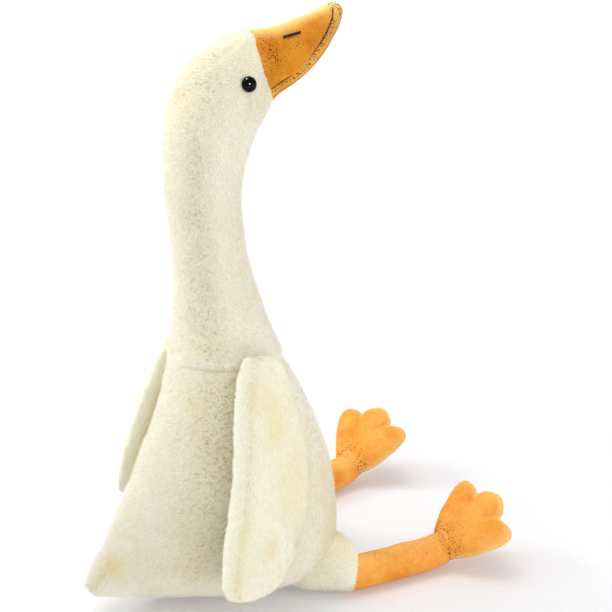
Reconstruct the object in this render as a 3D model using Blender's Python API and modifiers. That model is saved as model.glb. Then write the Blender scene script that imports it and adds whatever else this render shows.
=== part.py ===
"""A plush swan that sits on the floor with its legs out in front.

The toy faces -Y and its mid-plane is X = 0, so its right side is at -X.
The origin is on the flat of the seat, under the neck. Lengths are in metres.
"""

import math

import bpy
import numpy as np
from mathutils import Matrix, Vector
from mathutils.bvhtree import BVHTree

# Clearance between two pieces that touch
GAP = 0.0003

# Side pattern of the stuffed bag that is torso, neck and head.
# A station is a chord of the side view, front (y, z) to back (y, z), then the half width across
# and how pointed its back is, from 0 for an oval to 2 for a tail. Heights in the tables of neck,
# head and bill are above the neck seam.
TORSO_STATIONS = (
    ((-0.0893, 0.067), (0.1275, 0.052), 0.0802, 1.7),
    ((-0.0880, 0.088), (0.1110, 0.081), 0.0780, 1.2),
    ((-0.0845, 0.112), (0.0950, 0.111), 0.0740, 0.8),
    ((-0.0760, 0.142), (0.0795, 0.142), 0.0680, 0.5),
    ((-0.0640, 0.171), (0.0660, 0.171), 0.0600, 0.25),
    ((-0.0520, 0.193), (0.0585, 0.193), 0.0530, 0.1),
)
NECK_STATIONS = (
    ((-0.0365, 0.0165), (0.0515, 0.0145), 0.0440, 0.0),
    ((-0.0285, 0.0365), (0.0475, 0.0355), 0.0380, 0.0),
    ((-0.0205, 0.0615), (0.0470, 0.0605), 0.0335, 0.0),
    ((-0.0140, 0.0885), (0.0480, 0.0885), 0.0308, 0.0),
    ((-0.0100, 0.1165), (0.0495, 0.1175), 0.0298, 0.0),
    ((-0.0100, 0.1425), (0.0525, 0.1455), 0.0308, 0.0),
    ((-0.0145, 0.1625), (0.0535, 0.1735), 0.0328, 0.0),
)
HEAD_STATIONS = (
    ((-0.0210, 0.1775), (0.0495, 0.2055), 0.0350, 0.0),
    ((-0.0270, 0.1885), (0.0335, 0.2355), 0.0360, 0.0),
    ((-0.0330, 0.1975), (0.0085, 0.2540), 0.0340, 0.0),
)
# The seat: where the bag's edge starts to turn under, and how far it goes in and down from there.
# The underside of the tail stays clear of the floor. The middle is a station like the others,
# low enough for the floor to cut the bag flat there.
SEAT_MIDDLE = ((-0.0340, -0.0030), (0.0500, -0.0030))
SEAT_MIDDLE_HALF_WIDTH = 0.0080
SEAT_FRONT = (-0.0870, 0.0530)
SEAT_BACK = (0.1340, 0.0365)
SEAT_HALF_WIDTH = 0.0800
SEAT_TAIL = 1.9
SEAT_FRONT_ROUND = (0.0450, 0.0560)
SEAT_BACK_ROUND = (0.0180, 0.0190)
SEAT_SIDE_INSET = 0.0740
SEAT_STEPS = 6
# How late the underside rises towards the tail, from 0 for a straight line
TAIL_BEND = 1.6
# Sewn line round the foot of the neck
NECK_SEAM_Z = 0.2115
NECK_SEAM_FRONT_Y = -0.0430
NECK_SEAM_BACK_Y = 0.0545
NECK_SEAM_HALF_WIDTH = 0.0475
NECK_SEAM_DEPTH = 0.0025
NECK_SEAM_SPREAD = 0.0040
# Share of a plain oval that keeps the tail's edge round
TAIL_EDGE = 0.16
BAG_SIDES = 18

# Sewn joint of head and bill: its bottom and top in the side view. The bill's edge runs back
# over the cheeks, so the joint is part of a cylinder that stands along this chord.
BILL_BASE_BOTTOM = (-0.0364, 0.2070)
BILL_BASE_TOP = (-0.0188, 0.2620)
BILL_BASE_HALF_WIDTH = 0.0290
BILL_BASE_CURVE = 0.0643
# The head's skin runs on this far past the joint, and is cut back to it from this far behind it
BASE_OVERRUN = 0.0120
BASE_CUT_BACK = 0.0200

# Bill: bottom (y, z), top (y, z), half width across
BILL_STATIONS = (
    ((-0.0521, 0.2135), (-0.0371, 0.2607), 0.0262),
    ((-0.0680, 0.2235), (-0.0486, 0.2628), 0.0230),
    ((-0.0820, 0.2350), (-0.0624, 0.2668), 0.0195),
    ((-0.0920, 0.2478), (-0.0747, 0.2702), 0.0155),
    ((-0.0983, 0.2585), (-0.0836, 0.2730), 0.0120),
    ((-0.1018, 0.2663), (-0.0895, 0.2757), 0.0090),
)
BILL_TIP = ((-0.1028, 0.2725), (-0.0962, 0.2775), 0.0045)
# Mouth seam: the ring points that are drawn in, counted from the bottom
MOUTH_SEAM_POINT = 3
MOUTH_SEAM_DEPTH = 0.0016

# Plastic eyes, fixed through the head by a shank and a lock washer. Their place in the side view
# is taken from the middle of the bill's joint.
EYE_BEHIND_JOINT = 0.0246
EYE_BELOW_JOINT = 0.0011
EYE_RADIUS = 0.0060
EYE_DOME_HEIGHT = 0.0042
EYE_RIM = 0.0010
EYE_SUNK = 0.0010
SHANK_RADIUS = 0.0022
SHANK_LENGTH = 0.0130
WASHER_RADIUS = 0.0075
WASHER_THICKNESS = 0.0012
WASHER_DEPTH = 0.0060
TURNED_STEPS = 24
JOINT_STEPS = 48

# Nostrils: one bar of satin stitches on each side of the bill
NOSTRIL_BACK = (-0.0415, 0.2557)
NOSTRIL_FRONT = (-0.0570, 0.2585)
NOSTRIL_RADIUS = 0.0009
NOSTRIL_POINTS = 6
NOSTRIL_SIDES = 8

# Wings: flat padded leaves sewn in at the shoulders.
# A row is the distance down the wing, its front edge, its rear edge and its thickness.
WING_ROWS = (
    (0.000, -0.008, 0.016, 0.010),
    (0.006, -0.018, 0.023, 0.016),
    (0.026, -0.028, 0.026, 0.020),
    (0.056, -0.040, 0.026, 0.022),
    (0.092, -0.050, 0.026, 0.023),
    (0.128, -0.049, 0.027, 0.022),
    (0.160, -0.036, 0.028, 0.019),
    (0.184, -0.014, 0.028, 0.016),
    (0.197, 0.004, 0.022, 0.009),
)
WING_SIDES = 12
# The leaf curls round the torso: how far a point 1 m from its middle line would draw in
WING_CURL = 3.2
SHOULDER_X = 0.0560
SHOULDER_Y = -0.0040
SHOULDER_ABOVE_SEAM = 0.0175
# Side: outward lean from upright, and backward swing, both in degrees
WING_POSE = {"right": (13.0, 10.5), "left": (15.0, 14.5)}

# Legs: fur thighs, plain tubes and padded feet, each leg lying where it fell
LEG_RADIUS = 0.0150
LEG_FLOOR_CLEARANCE = 0.0003
# Rings of the tube between knee and ankle, the first one inside the thigh
LEG_RING_SHARES = (-0.25, 0.1, 0.45, 0.78)
# Thigh: distance behind the knee, radius and height of the middle
THIGH_ROWS = (
    (0.0760, 0.0120, 0.0310),
    (0.0670, 0.0210, 0.0295),
    (0.0490, 0.0275, 0.0280),
    (0.0290, 0.0285, 0.0280),
    (0.0120, 0.0255, 0.0250),
    (0.0030, 0.0205, 0.0195),
    (-0.0020, 0.0120, 0.0155),
)
THIGH_SIDES = 14
LEG_SIDES = 14
# Side: hip (x, y), knee (x, y) and ankle (x, y, z)
LEG_POSE = {
    "right": ((-0.0300, -0.0300), (-0.0635, -0.0870), (-0.0660, -0.1711, 0.0175)),
    "left": ((0.0430, -0.0300), (0.0880, -0.0840), (0.1090, -0.1761, 0.0175)),
}
# Side: how far the toes turn out, point up, and roll with the inner toe up, in degrees
FOOT_POSE = {"right": (14.0, 40.4, 19.0), "left": (17.5, 44.0, -3.5)}
# Foot pattern: palm centre ahead of the ankle, then the outline about it as angle from the
# middle toe in degrees and distance
PALM_AHEAD = 0.0300
FOOT_OUTLINE = (
    (0, 0.0411), (14, 0.0382), (26, 0.0355), (35, 0.0315), (43, 0.0379), (53, 0.0461),
    (65, 0.0474), (79, 0.0403), (99, 0.0342), (124, 0.0319), (150, 0.0350), (180, 0.0423),
)
FOOT_ANKLE_HALF_THICKNESS = 0.0155
FOOT_TOE_HALF_THICKNESS = 0.0100
# Share of the way out to the outline, and share of the thickness there
FOOT_SHELLS = ((0.93, 0.40), (0.74, 0.78), (0.42, 1.00))

# Cutters: edge length of the boxes that cut a plane and of the one that is the floor, and length of
# the cylinder that cuts the bill's joint
CUT_BOX_SIZE = 0.6
FLOOR_BOX_SIZE = 1.2
JOINT_CUTTER_LENGTH = 0.2


def clear_scene():
    """Remove everything that the file starts with."""
    for obj in list(bpy.data.objects):
        bpy.data.objects.remove(obj)


def collection(name):
    """A new collection in the scene."""
    group = bpy.data.collections.new(name)
    bpy.context.scene.collection.children.link(group)
    return group


def material(name, colour, roughness, metallic=0.0):
    """A Principled material with one colour."""
    made = bpy.data.materials.new(name)
    made.use_nodes = True
    shader = made.node_tree.nodes["Principled BSDF"]
    shader.inputs["Base Color"].default_value = (*colour, 1.0)
    shader.inputs["Roughness"].default_value = roughness
    shader.inputs["Metallic"].default_value = metallic
    made.diffuse_color = (*colour, 1.0)
    return made


def mesh_object(name, points, faces, group, finish=None):
    """An object from points and faces, shaded smooth."""
    mesh = bpy.data.meshes.new(name)
    mesh.from_pydata([tuple(point) for point in points], [], faces)
    mesh.shade_smooth()
    if finish:
        mesh.materials.append(finish)
    obj = bpy.data.objects.new(name, mesh)
    group.objects.link(obj)
    return obj


def loft(name, rings, group, finish=None):
    """A closed skin over rings of equal counts, capped with one face at each end.

    The rings run so that their points turn clockwise when seen from the first ring's side.
    """
    count = len(rings[0])
    faces = [list(range(count))]
    for ring in range(len(rings) - 1):
        low, high = ring * count, (ring + 1) * count
        for point in range(count):
            after = (point + 1) % count
            faces.append([low + after, low + point, high + point, high + after])
    last = (len(rings) - 1) * count
    faces.append([last + point for point in reversed(range(count))])
    return mesh_object(name, np.concatenate(rings), faces, group, finish)


def subdivide(obj, levels=1):
    """Round a coarse cage."""
    modifier = obj.modifiers.new("Soft", "SUBSURF")
    modifier.levels = levels
    modifier.render_levels = levels
    return obj


def hide_cutter(obj):
    """A cutter shows as wire and never renders."""
    obj.hide_render = True
    obj.display_type = "WIRE"
    return obj


def subtract(obj, cutter):
    """Cut one object away from another."""
    modifier = obj.modifiers.new("Cut " + cutter.name, "BOOLEAN")
    modifier.operation = "DIFFERENCE"
    modifier.solver = "EXACT"
    modifier.object = cutter


def grown_copy(obj, group):
    """The soft form of an object, grown by the gap, as a cutter for what sits on it."""
    copy = bpy.data.objects.new(obj.name + "_grown", obj.data)
    group.objects.link(copy)
    subdivide(copy)
    swell = copy.modifiers.new("Grow", "DISPLACE")
    swell.strength = GAP
    swell.mid_level = 0.0
    return hide_cutter(copy)


def half_space(name, point, normal, group, size=CUT_BOX_SIZE):
    """A large box that fills the side of a plane that the normal points to."""
    bpy.ops.mesh.primitive_cube_add(size=size)
    box = bpy.context.object
    box.name = name
    turn = Vector(normal).normalized().to_track_quat("Z", "Y").to_matrix().to_4x4()
    box.matrix_world = Matrix.Translation(point) @ turn @ Matrix.Translation((0, 0, size / 2))
    for old in list(box.users_collection):
        old.objects.unlink(box)
    group.objects.link(box)
    return hide_cutter(box)


def pointed_oval(angle, tail):
    """Share of the half width at an angle from the front: an oval drawn to a point behind.

    The shape is sin(angle) times a power of cos(angle / 2), scaled so that its peak is 1.
    """
    peak_half = math.atan(1 / math.sqrt(1 + tail))
    peak = 2 * math.sin(peak_half) * math.cos(peak_half) ** (1 + tail)
    drawn = np.sin(angle) * np.abs(np.cos(angle / 2)) ** tail / peak
    return (1 - TAIL_EDGE) * drawn + TAIL_EDGE * np.sin(angle) if tail else drawn


def cage_gain(sides):
    """How much larger a cage ring is than the circle that its subdivision comes to."""
    return 3 / (2 + math.cos(2 * math.pi / sides))


def chord_ring(front, back, half_width, tail, sides):
    """A ring in the plane across the mid-plane that holds a chord of the side view."""
    angle = 2 * math.pi * np.arange(sides) / sides
    gain = cage_gain(sides)
    across = half_width * gain * pointed_oval(angle, tail)
    middle = (np.array(front) + np.array(back)) / 2
    half = (np.array(back) - np.array(front)) / 2 * gain
    side_view = middle - np.cos(angle)[:, None] * half
    return np.column_stack((-across, side_view))


def above_seam(spot):
    """A place in the side view whose height was given above the neck seam."""
    return spot[0], spot[1] + NECK_SEAM_Z


def raised_ring(front, back, half_width, tail=0.0):
    """A ring of neck, head or bill, whose heights are given above the neck seam."""
    return chord_ring(above_seam(front), above_seam(back), half_width, tail, BAG_SIDES)


def circle_frame(direction):
    """Two unit vectors square to a direction, the second as upright as it can be."""
    along = Vector(direction).normalized()
    sideways = along.cross(Vector((0, 0, 1))).normalized()
    return sideways, sideways.cross(along)


def tube_ring(centre, direction, radius, sides):
    """A round ring about a point, square to a direction."""
    sideways, upright = circle_frame(direction)
    angle = 2 * math.pi * np.arange(sides) / sides
    size = radius * cage_gain(sides)
    return (np.array(centre)
            + size * np.cos(angle)[:, None] * np.array(sideways)
            + size * np.sin(angle)[:, None] * np.array(upright))


def surface_of(obj):
    """A search tree of an object's surface as it is now."""
    graph = bpy.context.evaluated_depsgraph_get()
    return BVHTree.FromObject(obj, graph)


def side_point(surface, sign, side_view):
    """Where a surface is first met from one side, at a place in the side view."""
    far = 0.3
    start = Vector((sign * far, *side_view))
    point, normal, _, _ = surface.ray_cast(start, Vector((-sign, 0, 0)))
    return point, normal


def bill_joint():
    """Middle, forward normal and rise of the joint of head and bill."""
    bottom, top = np.array(above_seam(BILL_BASE_BOTTOM)), np.array(above_seam(BILL_BASE_TOP))
    middle = (bottom + top) / 2
    rise = (top - bottom) / np.linalg.norm(top - bottom)
    return Vector((0, *middle)), Vector((0, -rise[1], rise[0])), Vector((0, *rise))


def joint_cylinder(name, grow, group):
    """The round form of the head's end, larger by one amount, as long as the joint and more."""
    middle, forward, rise = bill_joint()
    bpy.ops.mesh.primitive_cylinder_add(
        vertices=JOINT_STEPS, radius=BILL_BASE_CURVE + grow, depth=JOINT_CUTTER_LENGTH)
    rod = bpy.context.object
    rod.name = name
    turn = rise.to_track_quat("Z", "Y").to_matrix().to_4x4()
    rod.matrix_world = Matrix.Translation(middle - BILL_BASE_CURVE * forward) @ turn
    for old in list(rod.users_collection):
        old.objects.unlink(rod)
    group.objects.link(rod)
    return hide_cutter(rod)


def moved(chord, distance, normal):
    """A chord shifted along a direction in the side view."""
    return tuple(tuple(np.array(end) + distance * np.array(normal[1:])) for end in chord)


def seam_rings():
    """Three rings close together that draw the neck seam in."""
    rings = []
    for rise, depth in ((-NECK_SEAM_SPREAD, 0), (0, NECK_SEAM_DEPTH), (NECK_SEAM_SPREAD, 0)):
        height = NECK_SEAM_Z + rise
        front = (NECK_SEAM_FRONT_Y + depth, height)
        back = (NECK_SEAM_BACK_Y - depth, height)
        rings.append(chord_ring(front, back, NECK_SEAM_HALF_WIDTH - depth, 0, BAG_SIDES))
    return rings


def seat_rings():
    """Rings that turn the bag's edge under with a quarter of an ellipse, flat side down.

    The lower a ring is, the later its height runs up from the front's to the tail's.
    """
    rings = [chord_ring(*SEAT_MIDDLE, SEAT_MIDDLE_HALF_WIDTH, SEAT_TAIL, BAG_SIDES)]
    for angle in np.radians(np.linspace(84, 0, SEAT_STEPS)):
        inward, down = 1 - math.cos(angle), math.sin(angle)
        front_y = SEAT_FRONT[0] + SEAT_FRONT_ROUND[0] * inward
        front_z = SEAT_FRONT[1] - SEAT_FRONT_ROUND[1] * down
        back_y = SEAT_BACK[0] - SEAT_BACK_ROUND[0] * inward
        back_z = SEAT_BACK[1] - SEAT_BACK_ROUND[1] * down
        half_width = SEAT_HALF_WIDTH - SEAT_SIDE_INSET * inward
        ring = chord_ring((front_y, 0), (back_y, 0), half_width, SEAT_TAIL, BAG_SIDES)
        share = np.clip((ring[:, 1] - front_y) / (back_y - front_y), 0, None)
        ring[:, 2] = front_z + (back_z - front_z) * share ** (1 + TAIL_BEND * down)
        rings.append(ring)
    return rings


def joint_rings(distances):
    """Rings of head and bill about their joint, at distances ahead of it."""
    _, forward, _ = bill_joint()
    base = (above_seam(BILL_BASE_BOTTOM), above_seam(BILL_BASE_TOP))
    return [chord_ring(*moved(base, distance, forward), BILL_BASE_HALF_WIDTH, 0, BAG_SIDES)
            for distance in distances]


def build_body(parts, cutters, finish, floor):
    """Torso, neck and head: one stuffed bag with a flat seat and a round end for the bill."""
    rings = seat_rings()
    rings += [chord_ring(*station, BAG_SIDES) for station in TORSO_STATIONS]
    rings += seam_rings()
    rings += [raised_ring(*station) for station in NECK_STATIONS + HEAD_STATIONS]
    rings += joint_rings((0.0, BASE_OVERRUN))
    body = subdivide(loft("body", rings, parts, finish))
    grown = grown_copy(body, cutters)
    surface = surface_of(body)
    subtract(body, floor)
    middle, forward, _ = bill_joint()
    ahead = half_space("bill_side", middle - BASE_CUT_BACK * forward, forward, cutters)
    subtract(ahead, joint_cylinder("head_end", 0.0, cutters))
    subtract(body, ahead)
    return body, grown, surface


def build_bill(parts, cutters, finish):
    """The stuffed bill, with a seam drawn in along its mouth."""
    rings = [raised_ring(*HEAD_STATIONS[-1])] + joint_rings((0.0,))
    for station in (*BILL_STATIONS, BILL_TIP):
        ring = raised_ring(*station)
        centre = ring.mean(axis=0)
        for point in (MOUTH_SEAM_POINT, BAG_SIDES - MOUTH_SEAM_POINT):
            inward = centre - ring[point]
            ring[point] += MOUTH_SEAM_DEPTH * inward / np.linalg.norm(inward)
        rings.append(ring)
    bill = subdivide(loft("bill", rings, parts, finish))
    surface = surface_of(bill)
    subtract(bill, joint_cylinder("head_end_grown", GAP, cutters))
    return bill, surface


def turned(name, profile, place, group, finish=None, ring=False):
    """A profile in the XZ plane, turned about Z and put in place. A ring's profile is a loop."""
    edges = [(step, step + 1) for step in range(len(profile) - 1)]
    if ring:
        edges.append((len(profile) - 1, 0))
    mesh = bpy.data.meshes.new(name)
    mesh.from_pydata([(radius, 0, height) for radius, height in profile], edges, [])
    if finish:
        mesh.materials.append(finish)
    obj = bpy.data.objects.new(name, mesh)
    obj.matrix_world = place
    group.objects.link(obj)
    screw = obj.modifiers.new("Turn", "SCREW")
    screw.axis = "Z"
    screw.steps = TURNED_STEPS
    screw.render_steps = TURNED_STEPS
    screw.use_merge_vertices = True
    screw.merge_threshold = 0.0001
    screw.use_smooth_shade = True
    return obj


def dome(radius, height, steps=5):
    """Profile points of a dome, from its top down to its rim."""
    angle = np.linspace(0, math.pi / 2, steps + 1)
    return [(radius * math.sin(a), height * math.cos(a)) for a in angle]


def eye_profile(grow):
    """Dome, rim and shank of the eye, all larger by one amount."""
    rim = EYE_RADIUS + grow
    crown = [(r, h - EYE_SUNK) for r, h in dome(rim, EYE_DOME_HEIGHT + grow)]
    back = -EYE_SUNK - EYE_RIM - grow
    end = back - SHANK_LENGTH
    return crown + [(rim, back), (SHANK_RADIUS + grow, back), (SHANK_RADIUS + grow, end), (0, end)]


def eye_pocket_profile():
    """The hole in the head for the eye and for the washer on its shank."""
    outline = eye_profile(GAP)
    wide = WASHER_RADIUS + GAP
    bore = SHANK_RADIUS + GAP
    top = -WASHER_DEPTH + GAP
    bottom = -WASHER_DEPTH - WASHER_THICKNESS - GAP
    return outline[:-2] + [(bore, top), (wide, top), (wide, bottom), (bore, bottom)] + outline[-2:]


def washer_profile():
    """Section of the flat ring that grips the shank."""
    top, bottom = -WASHER_DEPTH, -WASHER_DEPTH - WASHER_THICKNESS
    bore = SHANK_RADIUS + GAP
    return [(bore, top), (WASHER_RADIUS, top), (WASHER_RADIUS, bottom), (bore, bottom)]


def build_eye(side, sign, body, head, parts, cutters, finishes):
    """A safety eye and its lock washer, square to the head where they go in."""
    middle, forward, rise = bill_joint()
    spot = middle - EYE_BEHIND_JOINT * forward - EYE_BELOW_JOINT * rise
    point, normal = side_point(head, sign, spot.yz)
    place = Matrix.Translation(point) @ normal.to_track_quat("Z", "Y").to_matrix().to_4x4()
    turned(side + "_eye", eye_profile(0), place, parts, finishes["eye"])
    turned(side + "_eye_washer", washer_profile(), place, parts, finishes["washer"], ring=True)
    pocket = turned(side + "_eye_pocket", eye_pocket_profile(), place, cutters)
    subtract(body, hide_cutter(pocket))


def stitch_rings(surface, sign, radius):
    """Rings of a bar of thread that follows the bill, half sunk in its pile."""
    share = np.linspace(0, 1, NOSTRIL_POINTS)[:, None]
    route = np.array(NOSTRIL_BACK) + share * (np.array(NOSTRIL_FRONT) - np.array(NOSTRIL_BACK))
    path = []
    for spot in route:
        point, _ = side_point(surface, sign, above_seam(spot))
        path.append(np.array(point))
    start, end = path[0], path[-1]
    along = (end - start) / np.linalg.norm(end - start)
    rings = [tube_ring(start - 0.8 * radius * along, along, 0.5 * radius, NOSTRIL_SIDES)]
    rings += [tube_ring(point, along, radius, NOSTRIL_SIDES) for point in path]
    rings.append(tube_ring(end + 0.8 * radius * along, along, 0.5 * radius, NOSTRIL_SIDES))
    return rings


def build_nostril(side, sign, bill, surface, parts, cutters, finish):
    """A stitched nostril and the groove that it draws in the bill."""
    loft(side + "_nostril", stitch_rings(surface, sign, NOSTRIL_RADIUS), parts, finish)
    groove = loft(side + "_groove", stitch_rings(surface, sign, NOSTRIL_RADIUS + GAP), cutters)
    subtract(bill, hide_cutter(groove))


def wing_frame(side, sign):
    """Place of a wing: X outward, Y to the rear, Z up along the leaf."""
    lean, swing = (math.radians(angle) for angle in WING_POSE[side])
    turn = Matrix.Rotation(swing, 4, "X") @ Matrix.Rotation(-sign * lean, 4, "Y")
    shoulder = (sign * SHOULDER_X, SHOULDER_Y, NECK_SEAM_Z + SHOULDER_ABOVE_SEAM)
    return Matrix.Translation(shoulder) @ turn


def build_wing(side, sign, parts, carriers, finish):
    """A padded leaf that hangs from the shoulder and curls round the torso."""
    place = np.array(wing_frame(side, sign))
    angle = 2 * math.pi * np.arange(WING_SIDES) / WING_SIDES
    gain = cage_gain(WING_SIDES)
    rings = []
    for down, front, rear, thickness in WING_ROWS:
        along = (front + rear) / 2 - gain * (rear - front) / 2 * np.cos(angle)
        out = gain * thickness / 2 * np.sin(angle) - WING_CURL * along ** 2
        local = np.column_stack((sign * out, along, np.full(WING_SIDES, -down), np.ones(WING_SIDES)))
        ring = (local @ place.T)[:, :3]
        rings.append(ring if sign > 0 else ring[::-1])
    wing = subdivide(loft(side + "_wing", rings, parts, finish))
    for carrier in carriers:
        subtract(wing, carrier)
    return wing


def leg_line(side):
    """Hip, knee and ankle of a leg, and the level direction from knee to ankle."""
    hip, knee, ankle = LEG_POSE[side]
    along = Vector((ankle[0] - knee[0], ankle[1] - knee[1], 0)).normalized()
    return Vector((*hip, 0)), Vector((*knee, 0)), Vector(ankle), along


def build_thigh(side, parts, cutters, floor, body_grown, finish):
    """The fur lobe at the root of a leg, seated against the torso and the floor."""
    hip, knee, _, _ = leg_line(side)
    along = (knee - hip).normalized()
    rings = []
    for behind, radius, height in THIGH_ROWS:
        middle = knee - behind * along + Vector((0, 0, height))
        rings.append(tube_ring(middle, along, radius, THIGH_SIDES))
    lobe = subdivide(loft(side + "_thigh", rings, parts, finish))
    grown = grown_copy(lobe, cutters)
    subtract(lobe, body_grown)
    subtract(lobe, floor)
    return grown


def foot_axes(side, sign):
    """Toe direction, inner side and upper side of a foot as unit vectors."""
    out, up, roll = (math.radians(angle) for angle in FOOT_POSE[side])
    toes = Vector((sign * math.sin(out) * math.cos(up), -math.cos(out) * math.cos(up), math.sin(up)))
    inner = Vector((-sign * math.cos(out), -math.sin(out), 0))
    upper = toes.cross(inner) * (-1 if sign > 0 else 1)
    if upper.z < 0:
        upper = -upper
    rolled = inner * math.cos(roll) + upper * math.sin(roll)
    return toes, rolled, (upper * math.cos(roll) - inner * math.sin(roll)).normalized()


def ankle_cut(side, sign):
    """Middle and forward normal of the sewn joint, halfway between leg and foot."""
    _, _, ankle, along = leg_line(side)
    toes, _, _ = foot_axes(side, sign)
    return ankle, (along + toes).normalized()


def build_leg(side, sign, parts, cutters, thigh_grown, finish):
    """The plain tube from the thigh to the ankle, lying on the floor."""
    _, knee, ankle, along = leg_line(side)
    toes, _, _ = foot_axes(side, sign)
    height = LEG_RADIUS + LEG_FLOOR_CLEARANCE
    reach = (Vector((ankle.x, ankle.y, 0)) - knee).length
    rings = []
    for share in LEG_RING_SHARES:
        point = knee + share * reach * along + Vector((0, 0, height))
        rings.append(tube_ring(point, along, LEG_RADIUS, LEG_SIDES))
    middle, normal = ankle_cut(side, sign)
    rings.append(tube_ring(middle, normal, LEG_RADIUS, LEG_SIDES))
    rings.append(tube_ring(middle + LEG_RADIUS * toes, toes, LEG_RADIUS, LEG_SIDES))
    leg = subdivide(loft(side + "_leg", rings, parts, finish))
    subtract(leg, thigh_grown)
    subtract(leg, half_space(side + "_foot_side", middle, normal, cutters))


def build_foot(side, sign, parts, cutters, floor, finish):
    """A padded foot: a three-toed outline with a pillow on each face."""
    _, _, ankle, _ = leg_line(side)
    toes, inner, upper = (np.array(axis) for axis in foot_axes(side, sign))
    outline = list(FOOT_OUTLINE) + [(360 - angle, reach) for angle, reach in FOOT_OUTLINE[-2:0:-1]]
    angle = np.radians([entry[0] for entry in outline])
    reach = np.array([entry[1] for entry in outline])
    count = len(outline)

    def layer(share, thick):
        """Points at a share of the way to the outline, raised by a share of the thickness."""
        ahead = PALM_AHEAD + share * reach * np.cos(angle)
        to_side = share * reach * np.sin(angle)
        towards_toes = np.clip(ahead / (PALM_AHEAD + reach[0] * 0.5), 0, 1)
        half = (FOOT_ANKLE_HALF_THICKNESS
                + (FOOT_TOE_HALF_THICKNESS - FOOT_ANKLE_HALF_THICKNESS) * towards_toes)
        return (np.array(ankle) + np.outer(ahead, toes) + np.outer(to_side, inner)
                + np.outer(thick * half, upper))

    rings = [layer(share, -thick) for share, thick in reversed(FOOT_SHELLS)]
    rings.append(layer(1.0, 0.0))
    rings += [layer(share, thick) for share, thick in FOOT_SHELLS]
    if np.cross(toes, inner) @ upper > 0:
        rings = [ring[::-1] for ring in rings]
    foot = subdivide(loft(side + "_foot", rings, parts, finish))
    middle, normal = ankle_cut(side, sign)
    subtract(foot, floor)
    subtract(foot, half_space(side + "_leg_side", middle + GAP * normal, -normal, cutters))


def main():
    """Build the whole toy."""
    clear_scene()
    parts = collection("plush_swan")
    cutters = collection("cutters")
    finishes = {
        "fur": material("white_plush", (0.80, 0.76, 0.64), 0.95),
        "velour": material("orange_velour", (0.90, 0.37, 0.06), 0.85),
        "eye": material("black_plastic", (0.01, 0.01, 0.01), 0.12),
        "washer": material("nylon_washer", (0.75, 0.75, 0.72), 0.5),
        "thread": material("black_thread", (0.02, 0.02, 0.02), 0.6),
    }
    floor = half_space("floor_side", (0, 0, 0), (0, 0, -1), cutters, FLOOR_BOX_SIZE)
    body, body_grown, head = build_body(parts, cutters, finishes["fur"], floor)
    bill, bill_surface = build_bill(parts, cutters, finishes["velour"])
    for side, sign in (("right", -1), ("left", 1)):
        build_eye(side, sign, body, head, parts, cutters, finishes)
        build_nostril(side, sign, bill, bill_surface, parts, cutters, finishes["thread"])
        thigh_grown = build_thigh(side, parts, cutters, floor, body_grown, finishes["fur"])
        build_wing(side, sign, parts, (body_grown, thigh_grown), finishes["fur"])
        build_leg(side, sign, parts, cutters, thigh_grown, finishes["velour"])
        build_foot(side, sign, parts, cutters, floor, finishes["velour"])


main()
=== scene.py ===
# %% [markdown]
# # A plush swan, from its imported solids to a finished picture
#
# The toy is a stuffed bird of cream-white pile fabric with a bill, legs and feet of orange velour.
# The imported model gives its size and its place. This lesson dresses that model: every soft piece is
# worked out again as a smooth surface, and then gets its pile, its seams and its stitches.
# The swan faces -Y, its mid-plane is X = 0 and the floor is Z = 0. Lengths are in metres.

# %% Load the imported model
import math

import bpy
import numpy as np
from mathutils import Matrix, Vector


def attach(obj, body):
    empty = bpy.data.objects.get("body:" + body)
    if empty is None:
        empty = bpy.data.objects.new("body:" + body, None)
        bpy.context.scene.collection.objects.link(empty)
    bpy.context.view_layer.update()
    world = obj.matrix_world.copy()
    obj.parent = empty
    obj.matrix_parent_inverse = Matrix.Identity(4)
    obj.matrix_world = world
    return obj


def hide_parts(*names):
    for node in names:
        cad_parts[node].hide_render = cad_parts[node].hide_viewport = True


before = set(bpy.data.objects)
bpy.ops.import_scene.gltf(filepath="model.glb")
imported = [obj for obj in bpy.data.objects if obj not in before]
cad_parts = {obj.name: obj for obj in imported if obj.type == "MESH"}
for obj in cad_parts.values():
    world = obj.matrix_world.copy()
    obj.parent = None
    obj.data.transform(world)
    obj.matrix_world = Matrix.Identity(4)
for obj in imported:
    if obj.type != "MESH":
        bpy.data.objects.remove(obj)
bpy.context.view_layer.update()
SIDES = (("right", -1), ("left", 1))

# %% [markdown]
# ## The camera first
#
# The photograph looks from the swan's right side and a little from behind, 20 degrees down. The two
# legs lie on the floor, so their lines fixed the angle.

# %% Camera
CAMERA_AZIMUTH = math.radians(-118)
CAMERA_ELEVATION = math.radians(20)
CAMERA_DISTANCE = 1.1667
CAMERA_TARGET = Vector((0.0, -0.070, 0.240))
LENS_MM = 82.35
SENSOR_MM = 36.0


def add_camera():
    """A camera that looks at the target from an azimuth and an elevation."""
    data = bpy.data.cameras.new("camera")
    data.lens = LENS_MM
    data.sensor_width = SENSOR_MM
    eye = bpy.data.objects.new("camera", data)
    level = math.cos(CAMERA_ELEVATION)
    back = Vector((math.sin(CAMERA_AZIMUTH) * level, -math.cos(CAMERA_AZIMUTH) * level,
                   math.sin(CAMERA_ELEVATION)))
    eye.location = CAMERA_TARGET + CAMERA_DISTANCE * back
    eye.rotation_euler = (-back).to_track_quat("-Z", "Y").to_euler()
    bpy.context.scene.collection.objects.link(eye)
    bpy.context.scene.camera = eye
    return eye


print("camera at", [round(part, 3) for part in add_camera().location])

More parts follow.
